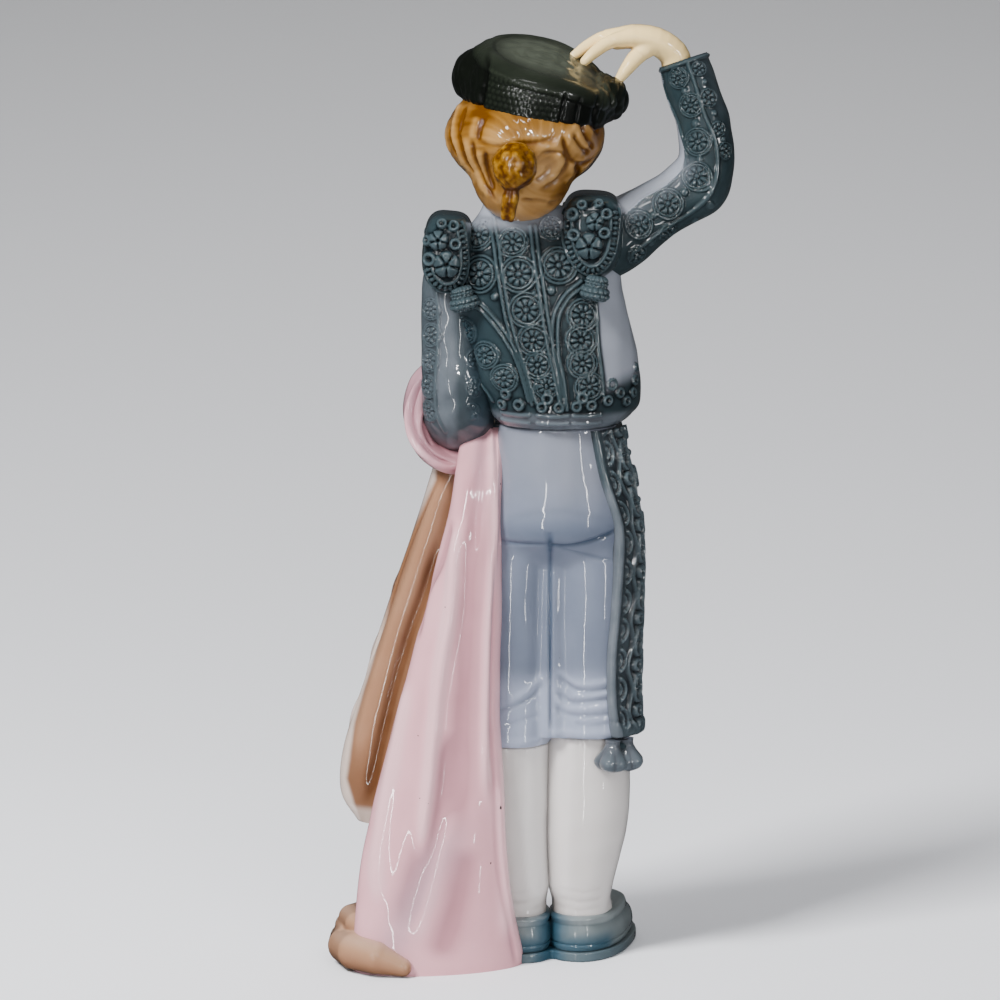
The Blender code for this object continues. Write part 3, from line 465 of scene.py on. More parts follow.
class Block:
    """A block of sample points on which rounded forms are added up as distance fields, negative inside."""

    def __init__(self, low, high, step):
        self.low, self.step = np.array(low, float), step
        counts = np.ceil((np.array(high, float) - self.low) / step).astype(int) + 1
        axes = [(self.low[i] + step * np.arange(counts[i])).astype(np.float32) for i in range(3)]
        self.x, self.y, self.z = np.meshgrid(*axes, indexing="ij", sparse=True)
        self.heights = axes[2]
        self.field = np.full(counts, 1e3, np.float32)

    def add(self, other, blend):
        """Joins a form on, with a fillet of about the blend's size."""
        share = np.clip(0.5 + 0.5 * (other - self.field) / blend, 0, 1)
        self.field = other * (1 - share) + self.field * share - blend * share * (1 - share)

    def carve(self, other, blend):
        """Takes a form away, with a rounded edge of about the blend's size."""
        share = np.clip(0.5 - 0.5 * (other + self.field) / blend, 0, 1)
        self.field = self.field * (1 - share) - other * share + blend * share * (1 - share)

    def keep_above(self, z):
        self.field = np.maximum(self.field, z - self.z)

    def ellipsoid(self, centre, radii, tilt=None):
        """Distance to an ellipsoid, which may be tilted."""
        x, y, z = self.x - centre[0], self.y - centre[1], self.z - centre[2]
        if tilt is not None:
            x, y, z = tilted(x, y, z, tilt)
        a = np.sqrt((x / radii[0]) ** 2 + (y / radii[1]) ** 2 + (z / radii[2]) ** 2) + 1e-6
        b = np.sqrt((x / radii[0] ** 2) ** 2 + (y / radii[1] ** 2) ** 2 + (z / radii[2] ** 2) ** 2) + 1e-6
        return a * (a - 1) / b

    def column(self, rows, square=2.0, turn=0.0):
        """Distance to an upright form with the given sections."""
        x, y, wide, deep = (rows_at(rows, self.heights)[:, i][None, None, :] for i in range(1, 5))
        dx, dy = self.x - x, self.y - y
        angle = math.radians(turn)
        across = np.abs(dx * math.cos(angle) + dy * math.sin(angle)) / wide
        along = np.abs(dy * math.cos(angle) - dx * math.sin(angle)) / deep
        radial = (across**square + along**square) ** (1 / square)
        side = (radial - 1) * np.minimum(wide, deep)
        heights = [row[0] for row in rows]
        return np.maximum(side, np.maximum(min(heights) - self.z, self.z - max(heights)))

    def beside(self, start, end):
        """Offsets from the nearest place on a segment, and the share of the segment passed there."""
        along = end[:3] - start[:3]
        x, y, z = self.x - start[0], self.y - start[1], self.z - start[2]
        t = np.clip((x * along[0] + y * along[1] + z * along[2]) / (along @ along), 0, 1)
        return x - t * along[0], y - t * along[1], z - t * along[2], t

    def strand(self, rows):
        """Distance to a round strand through (x, y, z, radius) rows."""
        best = np.inf
        rows = np.array(rows, float)
        for start, end in zip(rows, rows[1:]):
            x, y, z, t = self.beside(start, end)
            gap = np.sqrt(x**2 + y**2 + z**2) - (start[3] + t * (end[3] - start[3]))
            best = np.minimum(best, gap)
        return best

    def flat_strand(self, rows, reference):
        """Distance to a strand of elliptical section through (x, y, z, across, along) rows."""
        best = np.inf
        rows = np.array(rows, float)
        reference = np.array(reference, float)
        for start, end in zip(rows, rows[1:]):
            along = end[:3] - start[:3]
            tangent = along / np.linalg.norm(along)
            side = reference - tangent * (tangent @ reference)
            side /= np.linalg.norm(side)
            other = np.cross(tangent, side)
            x, y, z, t = self.beside(start, end)
            wide = start[3] + t * (end[3] - start[3])
            deep = start[4] + t * (end[4] - start[4])
            a = (x * other[0] + y * other[1] + z * other[2]) / wide
            b = (x * side[0] + y * side[1] + z * side[2]) / deep
            c = (x * tangent[0] + y * tangent[1] + z * tangent[2]) / deep
            gap = (np.sqrt(a**2 + b**2 + c**2) - 1) * np.minimum(wide, deep)
            best = np.minimum(best, gap)
        return best

    def skin(self, rounds=2):
        """A quad mesh of the zero level: one point per crossed cell and one quad per crossed edge."""
        field = self.field
        shape, size = field.shape, field.size
        count = np.zeros(size)
        sums = np.zeros((3, size))
        quads = []
        for axis in range(3):
            second, third = (axis + 1) % 3, (axis + 2) % 3
            head = [slice(None)] * 3
            tail = [slice(None)] * 3
            head[axis], tail[axis] = slice(None, -1), slice(1, None)
            crossed = (field[tuple(head)] < 0) != (field[tuple(tail)] < 0)
            place = np.argwhere(crossed)
            place = place[(place[:, second] > 0) & (place[:, third] > 0)]
            ahead = place.copy()
            ahead[:, axis] += 1
            near, far = field[tuple(place.T)], field[tuple(ahead.T)]
            crossing = place.astype(float)
            crossing[:, axis] += near / (near - far)
            corners = []
            for step_second, step_third in ((0, 0), (-1, 0), (-1, -1), (0, -1)):
                cell = place.copy()
                cell[:, second] += step_second
                cell[:, third] += step_third
                flat = np.ravel_multi_index(tuple(cell.T), shape)
                corners.append(flat)
                count += np.bincount(flat, minlength=size)
                for i in range(3):
                    sums[i] += np.bincount(flat, weights=crossing[:, i], minlength=size)
            quad = np.stack(corners, axis=1)
            quads.append(np.where((near < 0)[:, None], quad, quad[:, ::-1]))
        used = np.nonzero(count)[0]
        number = np.full(size, -1)
        number[used] = np.arange(len(used))
        points = self.low + self.step * (sums[:, used] / count[used]).T
        quads = number[np.vstack(quads)]
        return relaxed(points, quads, rounds), quads

    def relief(self, rounds=2):
        """The skin, ready for ornament, and its quads."""
        points, quads = self.skin(rounds)
        return Relief(points, mesh_normals(points, quads)), quads


def relaxed(points, quads, rounds):
    """The points of a mesh moved part of the way to the average of their neighbours."""
    ends = np.concatenate([quads[:, [i, (i + 1) % 4]] for i in range(4)])
    first, second = ends[:, 0], ends[:, 1]
    size = len(points)
    degree = np.bincount(first, minlength=size) + np.bincount(second, minlength=size)
    for _ in range(rounds):
        average = np.zeros_like(points)
        for i in range(3):
            average[:, i] += np.bincount(first, weights=points[second, i], minlength=size)
            average[:, i] += np.bincount(second, weights=points[first, i], minlength=size)
        points = 0.5 * points + 0.5 * average / np.maximum(degree, 1)[:, None]
    return points


def mesh_normals(points, quads):
    """Unit normals at the points of a quad mesh."""
    corners = points[quads]
    faces = np.cross(corners[:, 2] - corners[:, 0], corners[:, 3] - corners[:, 1])
    normals = np.zeros_like(points)
    for corner in range(4):
        for i in range(3):
            normals[:, i] += np.bincount(quads[:, corner], weights=faces[:, i], minlength=len(points))
    return normals / (np.linalg.norm(normals, axis=1)[:, None] + 1e-9)


# ---------------------------------------------------------------- raised ornament


def dome(distance, width):
    """A round hump: 1 in the middle, 0 from the width outwards."""
    return np.sqrt(np.clip(1 - (distance / width) ** 2, 0, 1))


def swell(distance, width):
    """A soft hump with no edge."""
    return np.exp(-((distance / width) ** 2))


def step_up(value, start, end):
    """0 before the start, 1 after the end, and smooth between them."""
    t = np.clip((value - start) / (end - start), 0, 1)
    return t * t * (3 - 2 * t)


def ripple(points, size, seed):
    """Slow, irregular variation between about -1 and 1."""
    rng = np.random.default_rng(seed)
    total = np.zeros(points.shape[:-1])
    for _ in range(6):
        direction = rng.normal(size=3)
        direction *= rng.uniform(0.6, 1.6) / (size * np.linalg.norm(direction))
        total += np.sin(points @ direction * 2 * math.pi + rng.uniform(0, 6.28))
    return total / 3.2


def within(x, z, outline):
    """Which of the points lie inside an outline of (x, z) corners."""
    inside = np.zeros(np.shape(x), bool)
    for (x0, z0), (x1, z1) in zip(outline, outline[1:] + outline[:1]):
        crosses = (z0 > z) != (z1 > z)
        slope = (x1 - x0) / (z1 - z0 if z1 != z0 else 1e-9)
        inside ^= crosses & (x < x0 + (z - z0) * slope)
    return inside


def grid_relief(grid):
    """A closed grid, ready for ornament."""
    return Relief(grid, grid_normals(grid))


class Relief:
    """Ornament on a surface. Heights are in millimetres along the surface's own normals."""

    def __init__(self, points, normals):
        self.shape = points.shape[:-1]
        self.points = points.reshape(-1, 3)
        self.normals = normals.reshape(-1, 3)
        self.height = np.zeros(len(self.points))
        self.seen = {side: np.nonzero(self.normals[:, 1] * side > 0.04)[0] for side in (BACK, FRONT)}

    def find(self, x, z, side=BACK):
        """Number of the surface point at (x, z) on the side that faces the back or the front."""
        choice = self.seen[side]
        gap = (self.points[choice, 0] - x) ** 2 + (self.points[choice, 2] - z) ** 2
        return int(choice[np.argmin(gap)])

    def local(self, spot, reach):
        """Points near a spot, with their places on the plane that touches the surface there."""
        offset = self.points - self.points[spot]
        near = np.nonzero(np.max(np.abs(offset), axis=1) < reach)[0]
        near = near[self.normals[near] @ self.normals[spot] > 0.1]
        across = np.cross(UP, self.normals[spot])
        across /= np.linalg.norm(across) + 1e-9
        upward = np.cross(self.normals[spot], across)
        return near, offset[near] @ across, offset[near] @ upward

    def lift(self, near, height):
        self.height[near] = np.maximum(self.height[near], height)

    def sink(self, near, depth):
        self.height[near] -= depth

    def rosette(self, x, z, radius, tall=0.8, petals=8, side=BACK, rim=0.0):
        """A wheel of petals round a button, in a thin ring, and in a second ring if rim is set."""
        near, u, v = self.local(self.find(x, z, side), radius * (1.15 + rim))
        r = np.hypot(u, v) / radius
        wedge = np.abs((np.arctan2(v, u) * petals / (2 * math.pi)) % 1 - 0.5) * 2
        petal = dome(np.maximum(wedge - 0.15, 0), 0.72) * dome(r - 0.56, 0.27) ** 0.7
        ring = 0.8 * dome(r - 0.96, 0.1)
        button = dome(r, 0.21)
        height = tall * np.maximum(np.maximum(petal, ring), button)
        if rim:
            height = np.maximum(height, 0.75 * tall * dome(r - 1 - rim, 0.1))
        self.lift(near, height)

    def blossom(self, x, z, radius, tall=1.5, petals=5, side=BACK):
        """A plump flower with parted petals and a pierced middle."""
        near, u, v = self.local(self.find(x, z, side), radius * 1.1)
        r = np.hypot(u, v) / radius
        wedge = np.abs((np.arctan2(v, u) * petals / (2 * math.pi) + 0.25) % 1 - 0.5) * 2
        outline = 1.0 - 0.16 * wedge**3
        height = tall * dome(r, 1.0) ** 0.8 * np.where(r < outline, 1, 0)
        height *= 1 - 0.65 * swell(1 - wedge, 0.22) * step_up(r, 0.12, 0.4)
        height *= 1 - 0.95 * swell(r, 0.17)
        self.lift(near, height)

    def ringlet(self, x, z, radius, tall=1.0, side=BACK, hole=0.36):
        """A plump ring with a hole."""
        near, u, v = self.local(self.find(x, z, side), radius * 1.1)
        r = np.hypot(u, v) / radius
        thick = (1 - hole) / 2
        self.lift(near, tall * dome(r - hole - thick, thick))
        self.sink(near, 0.35 * tall * swell(r, hole * 0.6))

    def bead(self, x, z, radius, tall=0.6, side=BACK):
        near, u, v = self.local(self.find(x, z, side), radius * 1.1)
        self.lift(near, tall * dome(np.hypot(u, v), radius))

    def track(self, line, side=BACK, step=0.8):
        """A line of (x, z) points laid on the surface."""
        path = line_through(line, step)
        depth = np.array([self.points[self.find(x, z, side), 1] for x, z in path])
        if len(depth) > 6:
            padded = np.pad(depth, 2, mode="edge")
            depth = np.convolve(padded, np.ones(5) / 5, mode="valid")
        return np.column_stack([path[:, 0], depth, path[:, 1]])

    def gap_to(self, track, reach):
        """Distance from every point to a line in space, and the share of the line passed, within reach."""
        best = np.full(len(self.points), 1e3)
        passed = np.zeros(len(self.points))
        for number, (start, end) in enumerate(zip(track, track[1:])):
            low, high = np.minimum(start, end) - reach, np.maximum(start, end) + reach
            near = np.nonzero(np.all((self.points > low) & (self.points < high), axis=1))[0]
            along = end - start
            offset = self.points[near] - start
            t = np.clip(offset @ along / (along @ along + 1e-9), 0, 1)
            gap = np.linalg.norm(offset - t[:, None] * along, axis=1)
            closer = gap < best[near]
            best[near[closer]] = gap[closer]
            passed[near[closer]] = (number + t[closer]) / (len(track) - 1)
        return best, passed

    def cord(self, line, width=0.7, tall=0.7, side=BACK, shift=0.0):
        """A raised cord along a line, which may be moved sideways from it."""
        track = self.track(line, side)
        if shift:
            heading = np.gradient(track, axis=0)
            sideways = np.column_stack([heading[:, 2], np.zeros(len(track)), -heading[:, 0]])
            track = track + shift * sideways / (np.linalg.norm(sideways, axis=1)[:, None] + 1e-9)
        gap, _ = self.gap_to(track, width)
        self.height = np.maximum(self.height, tall * dome(gap, width))

    def each(self, draw, places, *rest, **more):
        """Draws an ornament at each of the places."""
        for place in places:
            draw(*place, *rest, **more)

    def double_cord(self, line, spread=0.85, width=0.75, tall=0.8, side=BACK):
        for shift in (-spread, spread):
            self.cord(line, width, tall, side, shift)

    def groove(self, line, width=0.8, deep=0.6, side=BACK):
        """A soft groove, or a soft ridge when the depth is negative. It fades towards its ends."""
        gap, passed = self.gap_to(self.track(line, side, 1.6), width * 2.4)
        fade = step_up(passed, -0.02, 0.16) * step_up(1 - passed, -0.02, 0.16)
        self.height -= deep * swell(gap, width) * fade

    def bars(self, line, pitch, length, width, tall, side=BACK):
        """Short plump bars set across a line, like the beads of an epaulette's edge."""
        track = self.track(line, side, pitch)
        heading = np.gradient(track, axis=0)
        for centre, ahead in zip(track, heading):
            spot = self.find(centre[0], centre[2], side)
            near, _, _ = self.local(spot, length * 1.2)
            ahead = ahead / np.linalg.norm(ahead)
            offset = self.points[near] - centre
            along = offset @ ahead
            across = np.linalg.norm(offset - along[:, None] * ahead, axis=1)
            radial = np.sqrt((along / width) ** 2 + (across / length) ** 2)
            self.lift(near, tall * dome(radial, 1.0))

    def moved(self):
        """The surface with its ornament, and each point's lift, from 0 in the ground to 1 on the tops."""
        points = self.points + self.normals * self.height[:, None]
        lift = np.clip(self.height / 0.8, -1, 1)
        return points.reshape(*self.shape, 3), lift.reshape(self.shape)

    def outlined(self, reach=2, strength=2.4):
        """Lift for a grid: below 0 where glaze pools beside raised detail, above 0 on the tops."""
        height = self.height.reshape(self.shape)
        blurred = height
        for _ in range(2):
            for axis in (0, 1):
                total = sum(np.roll(blurred, shift, axis=axis) for shift in range(-reach, reach + 1))
                blurred = total / (2 * reach + 1)
        return np.clip(strength * (height - blurred) + 0.12 * height, -1, 1)


# ---------------------------------------------------------------- glazes


def link_nodes(tree, start, output, end, entry):
    tree.links.new(start.outputs[output], end.inputs[entry])


def noise_node(tree, coordinates, scale, detail=2.0):
    """A noise texture in the object's own metres."""
    noise = tree.nodes.new("ShaderNodeTexNoise")
    noise.inputs["Scale"].default_value = scale
    noise.inputs["Detail"].default_value = detail
    link_nodes(tree, coordinates, "Object", noise, "Vector")
    return noise


def sum_node(tree, operation, *values):
    """A math node fed by sockets or plain numbers."""
    node = tree.nodes.new("ShaderNodeMath")
    node.operation = operation
    for i, value in enumerate(values):
        if isinstance(value, (int, float)):
            node.inputs[i].default_value = value
        else:
            tree.links.new(value, node.inputs[i])
    return node.outputs[0]


def mixed(tree, share, first, second):
    """A colour between two, each a socket or a plain colour."""
    node = tree.nodes.new("ShaderNodeMix")
    node.data_type = "RGBA"
    tree.links.new(share, node.inputs["Factor"])
    for socket, value in ((node.inputs[6], first), (node.inputs[7], second)):
        if isinstance(value, tuple):
            socket.default_value = (*value, 1.0)
        else:
            tree.links.new(value, socket)
    return node.outputs[2]


def attribute_value(tree, name):
    node = tree.nodes.new("ShaderNodeAttribute")
    node.attribute_name = name
    return node.outputs["Fac"]


def pooled_colour(tree, cloud, colours, places, mottle):
    """Deep glaze where "lift" is low and light glaze where it is high, with cloudy variation."""
    deep, mid, light = colours
    sway = sum_node(tree, "MULTIPLY_ADD", cloud, 2.6 * mottle, -1.3 * mottle)
    level = sum_node(tree, "MULTIPLY_ADD", attribute_value(tree, "lift"), 0.5, 0.5)
    ramp = tree.nodes.new("ShaderNodeValToRGB")
    first, last = ramp.color_ramp.elements
    first.position, first.color = places[0], (*deep, 1.0)
    last.position, last.color = 1.0, (*light, 1.0)
    ramp.color_ramp.elements.new(places[1]).color = (*mid, 1.0)
    tree.links.new(sum_node(tree, "ADD", level, sway), ramp.inputs["Fac"])
    return ramp.outputs["Color"]


def painted(tree, cloud, colour, attribute, paint):
    """The colour with paint where the attribute is 1, and a cloudy edge to it."""
    zone = attribute_value(tree, attribute)
    share = sum_node(tree, "MULTIPLY_ADD", cloud, 0.5, -0.25)
    edge = sum_node(tree, "MULTIPLY", zone, sum_node(tree, "SUBTRACT", 1.0, zone))
    edge = sum_node(tree, "MULTIPLY", edge, 4.0)
    return mixed(tree, sum_node(tree, "MULTIPLY_ADD", share, edge, zone), colour, paint)


def wavy_surface(tree, coordinates, shader):
    """The slight waviness of a thick glaze."""
    bump = tree.nodes.new("ShaderNodeBump")
    bump.inputs["Strength"].default_value = 0.25
    bump.inputs["Distance"].default_value = 0.0004
    link_nodes(tree, noise_node(tree, coordinates, 150.0, 1.0), "Fac", bump, "Height")
    link_nodes(tree, bump, "Normal", shader, "Normal")
    link_nodes(tree, bump, "Normal", shader, "Coat Normal")


SPECK_COLOUR = (0.05, 0.035, 0.03)
# Places of the deep and the middle colour on the scale of lift.
USUAL_PLACES = (0.30, 0.62)
ORNAMENT_PLACES = (0.22, 0.52)


def glaze(name, colours, zones=(), mottle=0.10, cloud_size=9.0, specks=0.0, coat=1.0, places=USUAL_PLACES):
    """A fired glaze of (deep, middle, light) colours, with zones as (attribute, paint) over them."""
    material = bpy.data.materials.new(name)
    material.use_nodes = True
    tree = material.node_tree
    shader = tree.nodes["Principled BSDF"]
    coordinates = tree.nodes.new("ShaderNodeTexCoord")
    cloud = noise_node(tree, coordinates, 1000.0 / cloud_size, 3.0).outputs["Fac"]
    colour = pooled_colour(tree, cloud, colours, places, mottle)
    for attribute, paint in zones:
        colour = painted(tree, cloud, colour, attribute, paint)
    if specks:
        grain = noise_node(tree, coordinates, 620.0, 0.0).outputs["Fac"]
        colour = mixed(tree, sum_node(tree, "GREATER_THAN", grain, 1.0 - specks), colour, SPECK_COLOUR)
    tree.links.new(colour, shader.inputs["Base Color"])
    shader.inputs["Roughness"].default_value = 0.34
    shader.inputs["IOR"].default_value = 1.5
    shader.inputs["Specular IOR Level"].default_value = 0.15
    shader.inputs["Coat Weight"].default_value = coat
    shader.inputs["Coat Roughness"].default_value = 0.045
    wavy_surface(tree, coordinates, shader)
    return material


SLATE = glaze(
    "slate_glaze",
    [(0.002, 0.005, 0.007), (0.0185, 0.032, 0.037), (0.043, 0.064, 0.073)],
    # The "plain" paint is the glaze of unornamented zones; on the right sleeve it is also a painted
    # highlight.
    [("plain", (0.30, 0.32, 0.37)), ("pool", (0.004, 0.022, 0.034))],
    places=ORNAMENT_PLACES,
)
BREECHES_GLAZE = glaze(
    "pale_blue_glaze",
    [(0.05, 0.07, 0.11), (0.145, 0.168, 0.225), (0.29, 0.325, 0.42)],
    [("plain", (0.205, 0.215, 0.25))],
    mottle=0.06,
    cloud_size=16.0,
    specks=0.10,
)
WHITE_GLAZE = glaze(
    "white_glaze",
    [(0.24, 0.215, 0.20), (0.54, 0.51, 0.49), (0.65, 0.62, 0.60)],
    mottle=0.04,
)
SHOE_GLAZE = glaze(
    "shoe_glaze",
    [(0.05, 0.070, 0.075), (0.135, 0.160, 0.165), (0.27, 0.30, 0.30)],
    [("pool", (0.010, 0.055, 0.090))],
)
SKIN_GLAZE = glaze(
    "skin_glaze",
    [(0.52, 0.27, 0.09), (0.90, 0.65, 0.29), (0.96, 0.76, 0.38)],
    [
        ("blush", (0.72, 0.30, 0.22)),
        ("lips", (0.60, 0.16, 0.13)),
        ("white", (0.80, 0.80, 0.78)),
        ("iris", (0.06, 0.045, 0.03)),
        ("brow", (0.16, 0.075, 0.02)),
    ],
    mottle=0.04,
    cloud_size=14.0,
)
HAIR_GLAZE = glaze(
    "hair_glaze",
    [(0.09, 0.030, 0.001), (0.20, 0.090, 0.013), (0.35, 0.190, 0.058)],
    [("pale", (0.43, 0.25, 0.10))],
    cloud_size=7.0,
)
BUN_GLAZE = glaze(
    "bun_glaze",
    [(0.055, 0.016, 0.0003), (0.155, 0.064, 0.0015), (0.31, 0.16, 0.014)],
    mottle=0.62,
    cloud_size=2.4,
)
HAT_GLAZE = glaze(
    "hat_glaze",
    [(0.002, 0.0025, 0.0018), (0.0045, 0.0060, 0.0040), (0.013, 0.0165, 0.011)],
    # The "top" paint is a painted sheen: it makes the crown lighter, as if it caught the light.
    [("top", (0.054, 0.062, 0.046))],
    coat=0.45,
)
PINK_GLAZE = glaze(
    "pink_glaze",
    [(0.36, 0.16, 0.19), (0.68, 0.345, 0.385), (0.78, 0.49, 0.52)],
    # Both zones are painted shade: a greyish one and a deep wine-red one.
    [("shade", (0.36, 0.26, 0.30)), ("wine", (0.30, 0.08, 0.09))],
    mottle=0.05,
    cloud_size=18.0,
    specks=0.10,
)
TAN_GLAZE = glaze(
    "tan_glaze",
    [(0.10, 0.038, 0.014), (0.28, 0.142, 0.078), (0.40, 0.235, 0.145)],
    # The "pale" paint is the lining's pale edge, and on the floor fold a painted highlight on the tops of the
    # rolls.
    [("pale", (0.62, 0.52, 0.46)), ("pink", (0.70, 0.53, 0.55))],
    mottle=0.07,
    cloud_size=14.0,
)


# ---------------------------------------------------------------- jacket

# Places on the back, as (x, z, radius).
CENTRE_ROSETTES = [
    (6.2, 245.1, 4.1), (4.4, 234.9, 4.9), (1.7, 223.3, 4.7), (-0.5, 213.6, 4.3), (-2.1, 205.3, 3.9),
    (-5, 198.3, 3.4),
]
LEFT_ROSETTES = [
    (17.3, 247, 4.4), (17.1, 234.5, 5), (18.2, 216.4, 3.8), (12.8, 207.9, 4), (7.8, 200.5, 3.8),
]
RIGHT_ROSETTES = [
    (-6.6, 249.7, 3.3), (-9, 237.7, 5), (-16.8, 221.6, 4.4), (-16.4, 213.4, 4.3), (-16.7, 205.7, 4.1),
    (-19.2, 198, 3.9),
]
SMALL_DOTS = [
    (12.1, 227.3, 1.3), (-6.4, 229.7, 1.6), (10.4, 240, 0.9), (-1, 229, 0.8), (-3.6, 218, 0.7),
]
DOUBLE_CORDS = [
    [(13.1, 252.5), (11.6, 244.3), (10, 233.4), (8.1, 222.4), (5.1, 211.5), (1.8, 201.6), (-0.9, 192.2)],
    [
        (-0.4, 250.3), (-1.4, 241.6), (-2.8, 232.3), (-4.7, 219.7), (-6.1, 211.5), (-8, 203.2),
        (-10.2, 192.2),
    ],
    [(20.9, 227.9), (14.9, 223), (10, 217), (6.2, 210.9), (2.9, 203.2), (0.2, 193.3)],
    [
        (-16.7, 231.7), (-11.8, 227.9), (-8.5, 222.4), (-7.7, 217), (-8, 208.7), (-9.7, 200.5),
        (-10.8, 190.6),
    ],
]
RIGHT_COLUMN_EDGE = [(-20.6, 229), (-21.3, 223.5), (-21.9, 211.5), (-23.3, 200.5), (-23.6, 195)]
LEFT_COLUMN_EDGE = [(22.6, 222), (19.4, 210), (15, 200), (12, 192)]
HEM_RINGS = [
    (7.8, 195, 2), (9.2, 191.1, 1.9), (4, 191.4, 2.1), (-5.1, 194.1, 2.2), (-3.3, 191.1, 2),
    (-9, 191.2, 2), (-16.8, 194.4, 2.1), (-14.9, 191.4, 1.9), (-19.5, 191.7, 2), (-26.6, 198.3, 2.2),
    (-29.3, 195.5, 1.9), (-25, 193.3, 1.9), (-34.2, 198.8, 2), (-34.4, 202.6, 1.7), (-31.4, 192.4, 1.8),
    (-33.6, 194.8, 1.8),
]
HEM_BANDS = [(10, 0.7), (-2, -11.9), (-13.8, -22.8)]


def jacket_centre(z):
    """The jacket's middle at a height."""
    heights, middles, *_ = zip(*JACKET_ROWS)
    return float(np.interp(z, heights, middles))


def make_jacket():
    heights = levels(JACKET_ROWS, 236)
    grid = level_grid(rows_at(JACKET_ROWS, heights), fan(1.95, 0.0150, 0.045), last_column="lean")
    relief = grid_relief(grid)
    relief.each(relief.rosette, CENTRE_ROSETTES + LEFT_ROSETTES + RIGHT_ROSETTES, 0.85, 9, rim=0.2)
    for line in DOUBLE_CORDS:
        relief.double_cord(line)
    relief.cord(RIGHT_COLUMN_EDGE, 0.8, 0.7)
    relief.cord(LEFT_COLUMN_EDGE, 0.8, 0.7)
    relief.each(relief.bead, SMALL_DOTS, 0.8)
    relief.each(relief.ringlet, HEM_RINGS, 1.0)
    for first, last in HEM_BANDS:
        for z in (188.4, 185.8):
            relief.cord([(first, z), ((first + last) / 2, z - 0.2), (last, z)], 0.75, 0.6)
    ornament_front(relief)
    x, _, z = relief.points.T
    bare = step_up(relief.height, 0.35, 0.1)
    flank = step_up(relief.normals[:, 0], 0.35, 0.95) * step_up(z, 187.0, 203.0)
    flank = flank * step_up(232.0 - z, 0.0, 10.0)
    relief.height += 3.6 * flank + 0.14 * ripple(relief.points, 12.0, 6)
    behind = relief.normals[:, 1] > -0.35
    edge = np.interp(z, [200.0, 211.5, 222.0, 233.0], [-24.0, -22.4, -21.6, -20.8])
    panel = step_up(edge - x, 0.0, 1.2) * step_up(z + 0.35 * (x + 30.0), 196.0, 203.0) * bare
    plain = np.where(behind, 0.95 * panel * step_up(240.0 - z, 0.0, 8.0), 0.0)
    collar = step_up(z, 250.5, 254.5) * step_up(x + 0.55 * (z - 250), 7.0, 13.0)
    under_arm = np.where(behind, 0.55 * step_up(z, 247.0, 252.0), 0.0)
    hem = 0.22 * step_up(190.0 - z, 0.0, 3.0)
    plain = np.maximum.reduce([plain, collar, under_arm, hem * np.where(behind, 1, 0.6)])
    sides = swell(x - 22.0, 7.0) * step_up(228.0 - z, 0.0, 14.0) * behind
    moved, _ = relief.moved()
    lift = relief.outlined() - 0.12
    plain, pool = plain.reshape(lift.shape), 0.75 * sides.reshape(lift.shape)
    make_piece("jacket", [grid_shape(moved, lift=lift, plain=plain, pool=pool)], SLATE)


def ornament_front(relief):
    """Lapel edges and a column of rosettes on each front, which the picture does not show."""
    for side in (-1, 1):
        edge = [(jacket_centre(z) + side * 11.6, z) for z in (246, 236, 224, 212, 200, 188)]
        relief.double_cord(edge, side=FRONT)
        outer = [(jacket_centre(z) + side * 21.6, z) for z in (238, 228, 216, 204, 190)]
        relief.cord(outer, 0.8, 0.7, FRONT)
        for number, z in enumerate((236.5, 227.0, 217.6, 208.4, 199.4)):
            x = jacket_centre(z) + side * 16.6
            relief.rosette(x, z, 4.0 - 0.12 * number, 0.85, 9, FRONT, rim=0.2)
        for offset, z in ((15.0, 191.0), (18.6, 191.6), (16.8, 194.6)):
            relief.ringlet(jacket_centre(z) + side * offset, z, 1.9, 1.0, FRONT)


# ---------------------------------------------------------------- sleeves

# Places on the raised right sleeve, as (x, z, radius).
RIGHT_SLEEVE_ROSETTES = [
    (-48.5, 298, 2.9), (-52.5, 289, 3.3), (-55, 277, 3.8), (-54.6, 266, 4), (-45, 257, 4.2),
    (-35.5, 250.4, 3.9),
]
RIGHT_SLEEVE_OUTER = [
    (-55.3, 301.2, 2.5), (-58.5, 291.5, 3), (-61.8, 281.5, 2.5), (-64, 274, 2.8), (-45, 247.6, 3.1),
    (-35, 240.4, 3.4),
]
RIGHT_SLEEVE_CORD = [
    (-51.5, 303), (-54, 296), (-57, 286.5), (-60.5, 278), (-61.5, 270), (-59, 262), (-52, 254),
    (-42, 247.5), (-33, 240.5),
]
RIGHT_SLEEVE_INNER = [
    (-42.9, 301.5), (-44.8, 293), (-48.7, 283), (-51, 274.5), (-50.3, 268), (-44.5, 262.5), (-37, 258.5),
    (-31, 253.5),
]
RIGHT_SLEEVE_PLAIN = RIGHT_SLEEVE_INNER + [(-20.0, 262.0), (-36.0, 277.0), (-36.0, 303.0)]
RIGHT_SLEEVE_DOTS = [
    (-50.6, 293.6, 1.2), (-54.2, 283.2, 1.4), (-55.6, 271.4, 1.2), (-50.6, 260.8, 1.4),
    (-40.4, 253.4, 1.3), (-57.2, 296.6, 1), (-60.4, 286.6, 1.1), (-63.2, 278, 1), (-58, 257, 1.6),
    (-54, 251.6, 1.3), (-40, 244.2, 1.3),
]


def arm_relief(rows, reference, length):
    """A sleeve's surface, with a raised welt round its open end."""
    grid = path_grid(rows, reference, full_turn(200))
    relief = grid_relief(grid)
    to_end = np.repeat(np.linspace(1, 0, len(rows)) * length, grid.shape[1])
    return relief, 0.7 * dome(to_end - 1.6, 1.0)


def finish_sleeve(name, relief, plain, pool=0.0):
    """The sleeve's piece, with its plain and pooled zones."""
    moved, _ = relief.moved()
    lift = relief.outlined(2, 1.4)
    pool = np.broadcast_to(pool, plain.shape).reshape(lift.shape)
    shape = grid_shape(moved, lift=lift, plain=plain.reshape(lift.shape), pool=pool)
    make_piece(name, [shape], SLATE)


